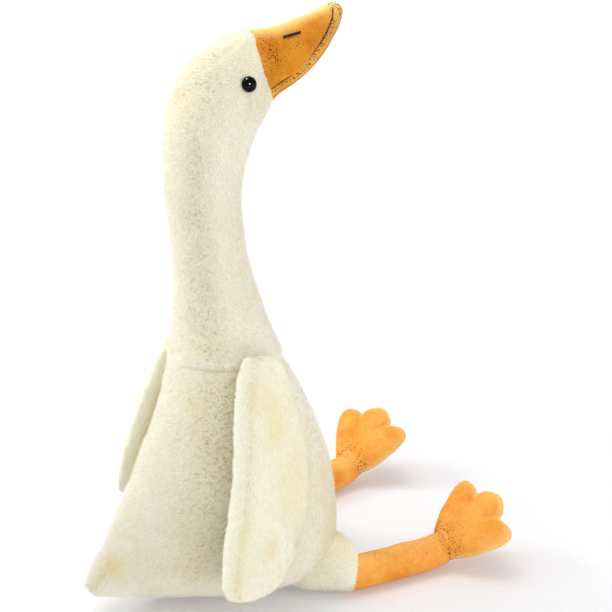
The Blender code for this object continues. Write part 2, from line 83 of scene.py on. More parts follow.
# %% [markdown]
# ## Surfaces from a few rings
#
# A stuffed bag has no flat parts and no sharp edges, so a handful of rings is enough to describe it.
# One could subdivide a cage of such rings. Here the same smooth surface is worked out directly: a
# uniform cubic B-spline, whose point is a weighted mean of four neighbours along the bag and four
# around it. The weights also give the two slopes, and their cross product is the outward direction.

# %% Spline weights


def near_weights(places, count, closed):
    """Value and slope weights of a uniform cubic B-spline, and the four points they belong to.

    At a share t between two points the four weights are (1-t)^3, 3t^3-6t^2+4, -3t^3+3t^2+3t+1 and
    t^3, each over 6. A closed spline runs on past its last point, an open one repeats its ends.
    """
    whole = np.floor(places).astype(int)
    t = places - whole
    values = np.stack(((1 - t) ** 3, 3 * t ** 3 - 6 * t ** 2 + 4,
                       -3 * t ** 3 + 3 * t ** 2 + 3 * t + 1, t ** 3)) / 6
    slopes = np.stack((-(1 - t) ** 2, 3 * t ** 2 - 4 * t, -3 * t ** 2 + 2 * t + 1, t ** 2)) / 2
    spots = np.stack([whole - 1, whole, whole + 1, whole + 2])
    return values, slopes, spots % count if closed else np.clip(spots, 0, count - 1)


def full_weights(places, count, closed):
    """The same weights as full rows, one for each place, for whole grids."""
    values, slopes, spots = near_weights(places, count, closed)
    rows = np.broadcast_to(np.arange(len(places)), spots.shape)
    value, slope = np.zeros((2, len(places), count))
    np.add.at(value, (rows, spots), values)
    np.add.at(slope, (rows, spots), slopes)
    return value, slope


def unit(vectors):
    """Vectors of length 1 in the same directions."""
    return vectors / np.maximum(np.linalg.norm(vectors, axis=-1, keepdims=True), 1e-12)


class Bag:
    """A closed soft form over rings of control points: rings run along it, sides run around it."""

    def __init__(self, rings):
        cage = np.array(rings, dtype=float)
        poles = [np.broadcast_to(end.mean(axis=0), end.shape)[None] for end in (cage[0], cage[-1])]
        self.cage = np.concatenate((poles[0], cage, poles[1]))
        self.length = len(self.cage) - 1

    def at(self, along, around):
        """Point, outward direction and lengthwise direction at places of any number."""
        ring, ring_slope, rings = near_weights(along, len(self.cage), closed=False)
        side, side_slope, sides = near_weights(around * self.cage.shape[1], self.cage.shape[1], True)
        near = self.cage[rings[:, None], sides[None, :]]
        point, lengthwise, crosswise = (
            np.einsum("in,jn,ijnk->nk", a, b, near)
            for a, b in ((ring, side), (ring_slope, side), (ring, side_slope)))
        return point, unit(np.cross(lengthwise, crosswise)), unit(lengthwise)

    def grid(self, rows, columns):
        """Point, outward and lengthwise directions on a regular grid, from pole to pole."""
        ring, ring_slope = full_weights(np.linspace(0, self.length, rows), len(self.cage), False)
        places = np.arange(columns) / columns * self.cage.shape[1]
        side, side_slope = full_weights(places, self.cage.shape[1], True)
        point, lengthwise, crosswise = (
            np.einsum("ar,bs,rsk->abk", a, b, self.cage, optimize=True)
            for a, b in ((ring, side), (ring_slope, side), (ring, side_slope)))
        return point, unit(np.cross(lengthwise, crosswise)), unit(lengthwise)


# %% [markdown]
# A mesh of such a grid is four-sided faces, with one point at each pole. Large meshes go in through
# `foreach_set`, which copies a whole array at once.

# %% Meshes from arrays


def new_object(name, mesh, finish):
    """An object at the origin with one material."""
    mesh.materials.append(finish)
    piece = bpy.data.objects.new(name, mesh)
    bpy.context.scene.collection.objects.link(piece)
    return piece


def mesh_of_faces(name, points, faces):
    """A smooth mesh from an array of points and an array of faces with equal counts."""
    mesh = bpy.data.meshes.new(name)
    mesh.vertices.add(len(points))
    mesh.vertices.foreach_set("co", np.asarray(points, dtype=np.float32).ravel())
    mesh.loops.add(faces.size)
    mesh.loops.foreach_set("vertex_index", faces.astype(np.int32).ravel())
    mesh.polygons.add(len(faces))
    mesh.polygons.foreach_set("loop_start", np.arange(len(faces), dtype=np.int32) * faces.shape[1])
    mesh.update(calc_edges=True)
    mesh.shade_smooth()
    return mesh


def mesh_of_grid(name, points):
    """A closed skin over a grid of rows that close around, with the end rows drawn to a point."""
    rows, columns = points.shape[:2]
    inner = points[1:-1].reshape(-1, 3)
    start, end = len(inner), len(inner) + 1
    spots = np.arange(len(inner)).reshape(rows - 2, columns)
    after = np.roll(spots, -1, axis=1)
    quads = np.stack((spots[:-1], spots[1:], after[1:], after[:-1]), axis=-1).reshape(-1, 4)
    caps = [(start, first, second) for first, second in zip(spots[0], after[0])]
    caps += [(end, second, first) for first, second in zip(spots[-1], after[-1])]
    mesh = bpy.data.meshes.new(name)
    corners = np.vstack((inner, points[0].mean(axis=0), points[-1].mean(axis=0)))
    mesh.from_pydata(corners.tolist(), [], quads.tolist() + [list(map(int, cap)) for cap in caps])
    mesh.shade_smooth()
    return mesh


# %% [markdown]
# ## The same stations as the solid
#
# The side pattern of torso, neck and head is a row of chords across the side view, each with a half
# width and a number that says how pointed its back is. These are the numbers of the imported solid, so
# the dressed bag fills the same room.

# %% Stations of the bag
TORSO_STATIONS = (
    ((-0.0893, 0.067), (0.1275, 0.052), 0.0802, 1.7),
    ((-0.0880, 0.088), (0.1110, 0.081), 0.0780, 1.2),
    ((-0.0845, 0.112), (0.0950, 0.111), 0.0740, 0.8),
    ((-0.0760, 0.142), (0.0795, 0.142), 0.0680, 0.5),
    ((-0.0640, 0.171), (0.0660, 0.171), 0.0600, 0.25),
    ((-0.0520, 0.193), (0.0585, 0.193), 0.0530, 0.1),
)
NECK_STATIONS = (
    ((-0.0365, 0.228), (0.0515, 0.226), 0.0440, 0.0),
    ((-0.0285, 0.248), (0.0475, 0.247), 0.0380, 0.0),
    ((-0.0205, 0.273), (0.0470, 0.272), 0.0335, 0.0),
    ((-0.0140, 0.300), (0.0480, 0.300), 0.0308, 0.0),
    ((-0.0100, 0.328), (0.0495, 0.329), 0.0298, 0.0),
    ((-0.0100, 0.354), (0.0525, 0.357), 0.0308, 0.0),
    ((-0.0145, 0.374), (0.0535, 0.385), 0.0328, 0.0),
)
HEAD_STATIONS = (
    ((-0.0210, 0.389), (0.0495, 0.417), 0.0350, 0.0),
    ((-0.0270, 0.400), (0.0335, 0.447), 0.0360, 0.0),
    ((-0.0330, 0.409), (0.0085, 0.4655), 0.0340, 0.0),
)
SEAT_MIDDLE = ((-0.0340, -0.0030), (0.0500, -0.0030), 0.0080, 1.9)
SEAT_FRONT = (-0.0870, 0.0530)
SEAT_BACK = (0.1340, 0.0365)
SEAT_HALF_WIDTH = 0.0800
SEAT_TAIL = 1.9
SEAT_FRONT_ROUND = (0.0450, 0.0560)
SEAT_BACK_ROUND = (0.0180, 0.0190)
SEAT_SIDE_INSET = 0.0740
SEAT_STEPS = 6
TAIL_BEND = 1.6
TAIL_EDGE = 0.16
NECK_SEAM_Z = 0.2115
NECK_SEAM_CHORD = (-0.0430, 0.0545)
NECK_SEAM_HALF_WIDTH = 0.0475
NECK_SEAM_SPREAD = 0.0040
BILL_BASE = ((-0.0364, 0.4185), (-0.0188, 0.4735))
BILL_BASE_HALF_WIDTH = 0.0290
BILL_BASE_CURVE = 0.0643
BASE_OVERRUN = 0.0120
BAG_SIDES = 18


def cage_gain(sides):
    """How much larger a control ring is than the circle that its spline draws."""
    return 3 / (2 + math.cos(2 * math.pi / sides))


def pointed_oval(angle, tail):
    """Share of the half width at an angle from the front.

    The share is sin(angle) times a power of cos(angle / 2), scaled so that its peak is 1, and mixed
    with a little plain oval so that the point stays round.
    """
    peak_half = math.atan(1 / math.sqrt(1 + tail))
    peak = 2 * math.sin(peak_half) * math.cos(peak_half) ** (1 + tail)
    drawn = np.sin(angle) * np.abs(np.cos(angle / 2)) ** tail / peak
    return (1 - TAIL_EDGE) * drawn + TAIL_EDGE * np.sin(angle) if tail else drawn


def chord_ring(front, back, half_width, tail=0.0, sides=BAG_SIDES):
    """Control points round a chord of the side view."""
    angle = 2 * math.pi * np.arange(sides) / sides
    gain = cage_gain(sides)
    middle = (np.array(front) + np.array(back)) / 2
    half = (np.array(back) - np.array(front)) / 2 * gain
    side_view = middle - np.cos(angle)[:, None] * half
    return np.column_stack((-half_width * gain * pointed_oval(angle, tail), side_view))


def seat_rings():
    """Control rings that turn the bag's edge under with a quarter of an ellipse."""
    rings = [chord_ring(*SEAT_MIDDLE)]
    for angle in np.radians(np.linspace(84, 0, SEAT_STEPS)):
        inward, down = 1 - math.cos(angle), math.sin(angle)
        front_y = SEAT_FRONT[0] + SEAT_FRONT_ROUND[0] * inward
        front_z = SEAT_FRONT[1] - SEAT_FRONT_ROUND[1] * down
        back_y = SEAT_BACK[0] - SEAT_BACK_ROUND[0] * inward
        back_z = SEAT_BACK[1] - SEAT_BACK_ROUND[1] * down
        ring = chord_ring((front_y, 0), (back_y, 0), SEAT_HALF_WIDTH - SEAT_SIDE_INSET * inward,
                          SEAT_TAIL)
        share = np.clip((ring[:, 1] - front_y) / (back_y - front_y), 0, None)
        ring[:, 2] = front_z + (back_z - front_z) * share ** (1 + TAIL_BEND * down)
        rings.append(ring)
    return rings


def neck_seam_rings():
    """Control rings on both sides of the sewn line round the foot of the neck."""
    front, back = NECK_SEAM_CHORD
    return [chord_ring((front, NECK_SEAM_Z + rise), (back, NECK_SEAM_Z + rise), NECK_SEAM_HALF_WIDTH)
            for rise in (-NECK_SEAM_SPREAD, 0, NECK_SEAM_SPREAD)]


JOINT_MIDDLE = (np.array(BILL_BASE[0]) + np.array(BILL_BASE[1])) / 2
JOINT_RISE = unit(np.array(BILL_BASE[1]) - np.array(BILL_BASE[0]))
JOINT_FORWARD = np.array((-JOINT_RISE[1], JOINT_RISE[0]))


def joint_ring(ahead):
    """Control ring of head and bill at a distance ahead of their joint."""
    bottom, top = (np.array(end) + ahead * JOINT_FORWARD for end in BILL_BASE)
    return chord_ring(bottom, top, BILL_BASE_HALF_WIDTH)


torso = [chord_ring(*station) for station in TORSO_STATIONS]
neck_and_head = [chord_ring(*station) for station in NECK_STATIONS + HEAD_STATIONS]
body_bag = Bag(seat_rings() + torso + neck_seam_rings() + neck_and_head
               + [joint_ring(0.0), joint_ring(BASE_OVERRUN)])
print("bag of", len(body_bag.cage), "rings,", BAG_SIDES, "sides")

# %% [markdown]
# ## Smooth noise, and where the seams draw the fabric in
#
# Filling is never quite even, and a seam pulls the fabric down beside it. Both are small moves along
# the outward direction. The noise is the usual value noise: a random number at each corner of a
# grid of cubes, blended across the cube, always the same for the same place.

# %% Noise and grooves
HASH_STEPS = np.array((73856093, 19349663, 83492791), dtype=np.int64)
HASH_RANGE = 65535


def value_noise(points, size, seed):
    """Smooth random value from -1 to 1 at each point, over cubes of a size."""
    scaled = points / size + 37.7 * seed
    cell = np.floor(scaled).astype(np.int64)
    share = scaled - cell
    share = share * share * (3 - 2 * share)
    total = np.zeros(points.shape[:-1])
    for corner in np.ndindex(2, 2, 2):
        key = ((cell + np.array(corner)) * HASH_STEPS).sum(axis=-1)
        key = (key ^ (key >> 13)) * 1274126177
        number = ((key >> 16) & HASH_RANGE) / HASH_RANGE * 2 - 1
        total += number * np.where(corner, share, 1 - share).prod(axis=-1)
    return total


def groove(distance, width):
    """A bell curve, 1 on a line and falling off over a width."""
    return np.exp(-(distance / width) ** 2)


def swell(distance, height_and_width):
    """A ridge on a line: its height times the bell curve of its width."""
    height, width = height_and_width
    return height * groove(distance, width)


def path_distance(points, path):
    """Distance from each point to a row of straight pieces."""
    best = np.full(points.shape[:-1], np.inf)
    for start, end in zip(path[:-1], path[1:]):
        run = end - start
        share = np.clip((points - start) @ run / (run @ run), 0, 1)
        best = np.minimum(best, np.linalg.norm(points - start - share[..., None] * run, axis=-1))
    return best


CROWN_SEAM = np.array((
    (0.0070, -0.0250, 0.4735), (0.0080, -0.0181, 0.4709), (0.0141, -0.0048, 0.4647),
    (0.0180, 0.0083, 0.4575), (0.0184, 0.0164, 0.4521), (0.0160, 0.0228, 0.4481),
    (0.0087, 0.0327, 0.4418), (0.0, 0.0371, 0.4380)))
TAIL_SEAM = np.array((
    (0.0113, 0.1149, 0.0526), (0.0093, 0.1206, 0.0447), (0.0069, 0.1262, 0.0357),
    (0.0034, 0.1296, 0.0292)))
TAIL_CORNER = np.array((0.010, 0.118, 0.036))
NECK_CREASE_Z = 0.2160
NECK_ROLL_RISE = 0.0060
FLANK_PRESSED = 0.0032
# Height and width of each line and swelling
NECK_CREASE, NECK_ROLL = (0.0034, 0.0020), (0.0010, 0.0055)
CROWN_RIDGE, CROWN_LINE = (0.0030, 0.0080), (0.0020, 0.0030)
TAIL_LINE, TAIL_RIDGE = (0.0028, 0.0028), (0.0014, 0.0085)
CORNER_PUFF, CORNER_FOLD, CORNER_FOLD_AT = (0.0030, 0.020), (0.0016, 0.0060), 0.030
EYE_DIMPLE = (0.0003, 0.0080)
EYE_SPOT = (-0.0045, 0.4375)


def body_relief(points):
    """How far the bag's fabric stands out of the plain spline at each point.

    It is the sum of broad lumps of filling, bell-shaped grooves along the seams with a soft roll
    above the neck's, a ridge along crown and tail, puffed tail corners, a dimple at each eye, and
    a hollow where the left wing presses on the back.
    """
    mirrored = points * (1, 1, 1)
    mirrored[..., 0] = np.abs(mirrored[..., 0])
    relief = 0.0008 * value_noise(points, 0.034, 1) + 0.0003 * value_noise(points, 0.012, 2)
    above = points[..., 2] - NECK_CREASE_Z
    at_side = np.clip((mirrored[..., 0] - 0.004) / 0.016, 0, 1)
    at_side *= np.clip((points[..., 1] + 0.006) / 0.014, 0, 1)
    relief += at_side * (-swell(above, NECK_CREASE) + swell(above - NECK_ROLL_RISE, NECK_ROLL))
    crown = path_distance(mirrored, CROWN_SEAM)
    relief += swell(crown, CROWN_RIDGE) - swell(crown, CROWN_LINE)
    tail = path_distance(mirrored, TAIL_SEAM)
    relief += -swell(tail, TAIL_LINE) + swell(tail, TAIL_RIDGE)
    corner = np.linalg.norm(mirrored - TAIL_CORNER, axis=-1)
    relief += swell(corner, CORNER_PUFF) - swell(corner - CORNER_FOLD_AT, CORNER_FOLD)
    eye = np.hypot(points[..., 1] - EYE_SPOT[0], points[..., 2] - EYE_SPOT[1])
    relief += -swell(eye, EYE_DIMPLE) * (np.abs(points[..., 0]) > 0.01)
    behind = points[..., 1] - np.interp(points[..., 2], (0.09, 0.14, 0.21), (0.078, 0.062, 0.045))
    pressed = groove(behind, 0.022) * groove(points[..., 2] - 0.160, 0.045)
    return relief - FLANK_PRESSED * pressed * np.clip(points[..., 0] / 0.02, 0, 1)


# %% [markdown]
# ## Finishes
#
# Pile fabric is matte and a little bright at its edges, because light catches the fibre tips there.
# The Principled shader's sheen does that. The cream-white changes slowly over the cloth, and each
# fibre is whiter at its tip than at its root: the root is in the shade of its neighbours.

# %% Material helpers


def linear(red, green, blue):
    """A screen colour from 0 to 255 as the linear colour that shaders take."""
    share = np.array((red, green, blue)) / 255
    curve = np.where(share > 0.04045, ((share + 0.055) / 1.055) ** 2.4, share / 12.92)
    return (*curve.tolist(), 1.0)


def new_material(name, roughness, sheen=0.0, sheen_tint=(255, 255, 255), sheen_roughness=0.5,
                 specular=0.5):
    """A Principled material, its node tree and its shader."""
    made = bpy.data.materials.new(name)
    made.use_nodes = True
    shader = made.node_tree.nodes["Principled BSDF"]
    shader.inputs["Roughness"].default_value = roughness
    shader.inputs["Specular IOR Level"].default_value = specular
    shader.inputs["Sheen Weight"].default_value = sheen
    shader.inputs["Sheen Roughness"].default_value = sheen_roughness
    shader.inputs["Sheen Tint"].default_value = linear(*sheen_tint)
    return made, made.node_tree, shader


def noise_of(tree, scale, detail=2.0, roughness=0.5):
    """Noise over Object coordinates; the scale is in cells a metre."""
    place = tree.nodes.new("ShaderNodeTexCoord")
    noise = tree.nodes.new("ShaderNodeTexNoise")
    noise.inputs["Scale"].default_value = scale
    noise.inputs["Detail"].default_value = detail
    noise.inputs["Roughness"].default_value = roughness
    tree.links.new(place.outputs["Object"], noise.inputs["Vector"])
    return noise.outputs["Fac"]


def ramp_of(tree, factor, stops):
    """Colours along a factor: stops are (place, colour)."""
    ramp = tree.nodes.new("ShaderNodeValToRGB")
    ramp.color_ramp.elements[0].position, ramp.color_ramp.elements[0].color = stops[0]
    ramp.color_ramp.elements[1].position, ramp.color_ramp.elements[1].color = stops[-1]
    for place, colour in stops[1:-1]:
        ramp.color_ramp.elements.new(place).color = colour
    tree.links.new(factor, ramp.inputs["Fac"])
    return ramp.outputs["Color"]


def mix_of(tree, factor, first, second, blend="MIX"):
    """Two colours mixed by a factor, which is a socket or a number."""
    mix = tree.nodes.new("ShaderNodeMix")
    mix.data_type = "RGBA"
    mix.blend_type = blend
    for value, socket in ((factor, mix.inputs[0]), (first, mix.inputs[6]), (second, mix.inputs[7])):
        if isinstance(value, bpy.types.NodeSocket):
            tree.links.new(value, socket)
        else:
            socket.default_value = value
    return mix.outputs[2]


def bump_of(tree, shader, height, strength, distance):
    """A bump from a height, in metres, on a shader."""
    bump = tree.nodes.new("ShaderNodeBump")
    bump.inputs["Strength"].default_value = strength
    bump.inputs["Distance"].default_value = distance
    tree.links.new(height, bump.inputs["Height"])
    tree.links.new(bump.outputs["Normal"], shader.inputs["Normal"])


# %% [markdown]
# A fibre lets light through, and a flat tuft does not. Seen from below, a tuft would hide the light
# that falls on its neighbours and turn the pile grey. So the back of a tuft is left clear.

# %% The cream-white pile


def open_behind(tree, shader):
    """The shader shows on the front of a face, and its back is clear."""
    behind = tree.nodes.new("ShaderNodeNewGeometry")
    clear = tree.nodes.new("ShaderNodeBsdfTransparent")
    mix = tree.nodes.new("ShaderNodeMixShader")
    tree.links.new(behind.outputs["Backfacing"], mix.inputs[0])
    tree.links.new(shader.outputs["BSDF"], mix.inputs[1])
    tree.links.new(clear.outputs["BSDF"], mix.inputs[2])
    tree.links.new(mix.outputs["Shader"], tree.nodes["Material Output"].inputs["Surface"])


def pile_material(name, cream, yellow_and_shade, root, with_tips=True):
    """Pile: two creams, mixed by noise and by a stored yellow that carries painted shade too, and a root
    colour under the tips.
    """
    made, tree, shader = new_material(name, 0.95, sheen=0.4, sheen_tint=(255, 254, 250),
                                      sheen_roughness=0.35, specular=0.3)
    # The stored yellow is partly real yellowing and partly painted shade: the folds under the wings and the
    # wings' sewn channels.
    yellow_and_shade_node = tree.nodes.new("ShaderNodeAttribute")
    yellow_and_shade_node.attribute_name = "yellow_and_shade"
    share = tree.nodes.new("ShaderNodeMath")
    share.operation = "MULTIPLY_ADD"
    share.use_clamp = True
    share.inputs[1].default_value = 0.9
    clouds = ramp_of(tree, noise_of(tree, 22.0, 2.0), ((0.46, (0, 0, 0, 1)), (0.74, (0.32, 0.32, 0.32, 1))))
    tree.links.new(yellow_and_shade_node.outputs["Fac"], share.inputs[0])
    tree.links.new(clouds, share.inputs[2])
    colour = mix_of(tree, share.outputs[0], linear(*cream), linear(*yellow_and_shade))
    if with_tips:
        tip = tree.nodes.new("ShaderNodeAttribute")
        tip.attribute_name = "tip"
        shade = ramp_of(tree, tip.outputs["Fac"], (
            (0.0, linear(*root)), (0.42, linear(226, 221, 203)), (0.85, linear(255, 255, 255))))
        colour = mix_of(tree, 1.0, colour, shade, "MULTIPLY")
        open_behind(tree, shader)
    else:
        # The backing takes the root colour: painted shade under the pile.
        colour = mix_of(tree, 1.0, colour, linear(*root), "MULTIPLY")
        bump_of(tree, shader, noise_of(tree, 900.0, 2.0), 0.6, 0.0008)
    tree.links.new(colour, shader.inputs["Base Color"])
    return made


# The second colour of each pair is a yellower cream, used for yellow patches and also as painted shade.
CREAM, YELLOW_AND_SHADE = (243, 239, 225), (236, 220, 170)
LEAF_CREAM, LEAF_YELLOW_AND_SHADE = (246, 242, 223), (240, 221, 160)
pile_finish = pile_material("white_plush_pile", CREAM, YELLOW_AND_SHADE, (122, 106, 58))
skin_finish = pile_material("white_plush_backing", CREAM, YELLOW_AND_SHADE, (228, 221, 198), with_tips=False)
leaf_finish = pile_material("white_plush_leaf", LEAF_CREAM, LEAF_YELLOW_AND_SHADE, (168, 152, 112))
leaf_skin_finish = pile_material("white_plush_leaf_backing", LEAF_CREAM, LEAF_YELLOW_AND_SHADE, (232, 226, 206),
                                 with_tips=False)
print("finishes:", pile_finish.name, leaf_finish.name)

# %% [markdown]
# ## A field of pile
#
# Real pile is millions of fibres, and what the eye sees are small tufts that lean the same way. So
# the pile is made of tufts: a leaning triangle, under a millimetre wide at its root and drawn to a
# point. Particle hair would look the same but leaves no mesh behind, so the tufts are worked out as
# arrays. They stand on evenly spread places, lean down the fabric, and turn a little
# with the noise, which draws the soft flow of brushed plush.

# %% Even places on a surface
GOLDEN_STEPS = (0.7548776662466927, 0.5698402909980532)


def spread_over(bag, count, rows=220, columns=96):
    """Evenly spread places on a bag: (along, around) arrays.

    Two golden-ratio sequences give shares. The first picks a row by its share of the whole area,
    and the second a place in that row by its share of the row's area.
    """
    points, _, _ = bag.grid(rows + 1, columns)
    lengthwise = points[1:] - points[:-1]
    crosswise = np.roll(points, -1, axis=1)[:-1] - points[:-1]
    area = np.linalg.norm(np.cross(lengthwise, crosswise), axis=-1) + 1e-12
    numbers = np.arange(1, count + 1)
    first, second = (np.mod(numbers * step, 1.0) for step in GOLDEN_STEPS)
    row_edges = np.concatenate(([0], np.cumsum(area.sum(axis=1))))
    row_edges /= row_edges[-1]
    row = np.clip(np.searchsorted(row_edges, first, side="right") - 1, 0, rows - 1)
    in_row = (first - row_edges[row]) / (row_edges[row + 1] - row_edges[row])
    side_edges = np.concatenate((np.zeros((rows, 1)), np.cumsum(area, axis=1)), axis=1)
    side_edges /= side_edges[:, -1:]
    flat = (side_edges[:, :-1] + 2 * np.arange(rows)[:, None]).ravel()
    spot = np.searchsorted(flat, second + 2 * row, side="right") - 1
    column = np.clip(spot - row * columns, 0, columns - 1)
    start, end = side_edges[row, column], side_edges[row, column + 1]
    in_column = np.clip((second - start) / (end - start), 0, 1)
    return (row + in_row) / rows * bag.length, (column + in_column) / columns


# %% Tufts
SKIN_DEPTH = 0.0022
TUFT_LENGTH, TUFT_WIDTH, TUFT_LEAN = 0.0031, 0.00062, math.radians(46)
ROOT_SHADE, ROOT_SHADE_SMOOTH = 0.08, 0.75
# Speckle is the fur's own fine texture; where a place gets painted shade, its speckles deepen and spread.
SPECKLE_SIZE, SPECKLE_STRETCH = 0.0023, np.array((1.1, 0.8, 2.1))
SPECKLE_SHARE, SPECKLE_DEPTH, SPECKLE_POWER = 0.38, 1.15, 2.6
SHADE_SPREAD, SHADE_SPREAD_SPECKLED = 0.03, 0.20


def point_values(mesh, name, values):
    """Stores one number a point under a name."""
    mesh.attributes.new(name, "FLOAT", "POINT").data.foreach_set("value", values.astype(np.float32))


def pile_mesh(name, roots, outward, flow, places, seed, speckled_shade=0.0, yellow_and_shade=0.0):
    """One tuft, a single pointed triangle, at each root.

    With n outward and t down the pile, a tuft goes from its root p to p + L (t sin a + n cos a).
    Its width runs along n x t. Noise turns t, and changes L, the lean a and the shade, so that
    neighbours keep together as they do in brushed plush. The argument after the seed, from 0 to 1,
    is painted shade with dark speckle: there the tufts turn more, darken in speckles and show their
    roots. The last argument is how yellow the pile is, painted shade in folds and channels included.
    """
    rng = np.random.default_rng(seed)
    count = len(roots)
    speckled_shade = np.broadcast_to(speckled_shade, count)
    across = unit(np.cross(outward, flow))
    turn = 0.5 * value_noise(roots, 0.0030, seed + 3) + 0.35 * value_noise(roots, 0.015, seed + 4)
    turn = turn * (1 + 1.2 * speckled_shade) + rng.normal(0, 0.45, count)
    direction = unit(flow * np.cos(turn)[:, None] + across * np.sin(turn)[:, None])
    across = unit(np.cross(outward, direction))
    length = TUFT_LENGTH * rng.uniform(0.75, 1.15, count) * (1 + 0.2 * value_noise(roots, 0.005, seed + 5))
    lean = TUFT_LEAN + 0.15 * value_noise(roots, 0.0045, seed + 6) + rng.normal(0, 0.12, count)
    half = TUFT_WIDTH * rng.uniform(0.8, 1.2, count) / 2
    blade = direction * np.sin(lean)[:, None] + outward * np.cos(lean)[:, None]
    base = roots - 0.0003 * outward
    points = np.stack((base - half[:, None] * across, base + half[:, None] * across,
                       base + length[:, None] * blade), axis=1)
    points[..., 2] = np.maximum(points[..., 2], 0.0002)
    mesh = mesh_of_faces(name, points.reshape(-1, 3), np.arange(3 * count).reshape(-1, 3)[:, ::-1])
    facing = unit(0.75 * outward + 0.25 * np.cross(blade, across))
    mesh.normals_split_custom_set_from_vertices(np.repeat(facing, 3, axis=0))
    stretched = roots * SPECKLE_STRETCH
    speckle = (0.5 + SPECKLE_SHARE * value_noise(stretched, SPECKLE_SIZE, seed + 7)
               + SPECKLE_SHARE * value_noise(stretched, SPECKLE_SIZE / 2, seed + 8))
    speckle = np.clip(speckle, 0, 1)
    # Painted shade: the tuft darkens in speckles where the argument after the seed is high, and its root
    # with it.
    shade = 1 - 0.06 * speckle - speckled_shade * (0.03 + SPECKLE_DEPTH * speckle ** SPECKLE_POWER)
    shade += rng.normal(0, 1, count) * (SHADE_SPREAD + SHADE_SPREAD_SPECKLED * speckled_shade)
    root = shade * (ROOT_SHADE + (ROOT_SHADE_SMOOTH - ROOT_SHADE) * (1 - speckled_shade))
    point_values(mesh, "tip", np.stack((root, root, shade), axis=1).ravel())
    point_values(mesh, "yellow_and_shade", np.repeat(np.broadcast_to(yellow_and_shade, count), 3))
    add_pile_map(mesh, places, half, length)
    return mesh


PILE_MAP_SPAN = 0.6
PILE_MAP_MARGIN = 0.01


def add_pile_map(mesh, places, half, length):
    """A texture map on which each tuft lies flat over its own root.

    places are the roots' shares along and around the piece, and one unit of the map is taken as
    a fixed span of cloth.
    """
    along, around = (PILE_MAP_MARGIN + (1 - 2 * PILE_MAP_MARGIN) * share for share in places)
    wide, high = half / PILE_MAP_SPAN, length / PILE_MAP_SPAN
    corners = np.stack((np.stack((around - wide, along), 1), np.stack((around + wide, along), 1),
                        np.stack((around, along - high), 1)), axis=1)
    layer = mesh.uv_layers.new(name="OFBake")
    spots = np.empty(len(mesh.loops), dtype=np.int32)
    mesh.loops.foreach_get("vertex_index", spots)
    layer.data.foreach_set("uv", np.clip(corners.reshape(-1, 2)[spots], 0, 1).astype(np.float32).ravel())


# %% [markdown]
# ## The bag: torso, neck and head
#
# The backing cloth lies a pile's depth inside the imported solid, so that the tips of the tufts reach
# its surface. The pile stops at the sewn joint, which is round: it stands ahead of a cylinder that
# the head ends in.

# %% Body
BODY_ROWS, BODY_COLUMNS = 300, 150
BODY_TUFTS = 330000
SEAT_PILE_TOP = 0.085


def ahead_of_joint(points):
    """How far a point is outside the cylinder that head and bill meet on, and in front of its axis."""
    from_axis = points[..., 1:] - (JOINT_MIDDLE - BILL_BASE_CURVE * JOINT_FORWARD)
    forward = from_axis @ JOINT_FORWARD
    beyond = np.hypot(forward, points[..., 0]) - BILL_BASE_CURVE
    return np.where(forward > BILL_BASE_CURVE / 2, beyond, -1.0)


def laid_on_floor(points, height=0.0006):
    """Points that would sink into the floor are laid on it."""
    raised = points.copy()
    raised[..., 2] = np.maximum(raised[..., 2], height)
    return raised


def dressed(piece, node):
    """Says what a piece rides on and which imported part it replaces."""
    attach(piece, "root")
    if node:
        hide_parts(node)
    print(piece.name, len(piece.data.vertices), "points,", len(piece.data.polygons), "faces")
    return piece


TUCK_DEPTH, TUCK_RUN = 0.0060, 0.0040


def tucked(beyond):
    """How far cloth is drawn in where it runs on under its neighbour, from a distance past the edge."""
    return -TUCK_DEPTH * np.clip(beyond / TUCK_RUN, 0, 1)


points, outward, _ = body_bag.grid(BODY_ROWS, BODY_COLUMNS)
relief = body_relief(points) + tucked(ahead_of_joint(points))
points = points + (relief - SKIN_DEPTH)[..., None] * outward
body = new_object("body_cloth", mesh_of_grid("body_cloth", laid_on_floor(points)), skin_finish)
dressed(body, "body")

# %% Pile of the body
EYE_CLEARING = 0.0063
REARWARD = np.array((0.0, 1.0, 0.0))
FLANK_TOP, FLANK_BOTTOM = 0.215, 0.090
# Painted shade with dark speckle on the body: behind the wings, on the sides of neck and torso that turn to
# the rear, along the tail's seam and on the throat.
SHADE_BAND_BEHIND_WINGS = 0.029
SIDE_BAND_MIDDLE, SIDE_BAND_WIDTH = 0.62, 0.42
FLANK_SHADE, NECK_SIDE_SHADE, LOW_SIDE_SHADE, TAIL_SEAM_SHADE, THROAT_SHADE = 0.74, 0.78, 0.26, 0.32, 0.17
MOST_SHADE = 0.9


def body_flow(roots, lengthwise):
    """The pile runs down from the head, and turns to the rear lower on the flanks."""
    turned = np.clip((FLANK_TOP - roots[:, 2]) / (FLANK_TOP - FLANK_BOTTOM), 0, 1)
    return -lengthwise + 1.5 * turned[:, None] * REARWARD


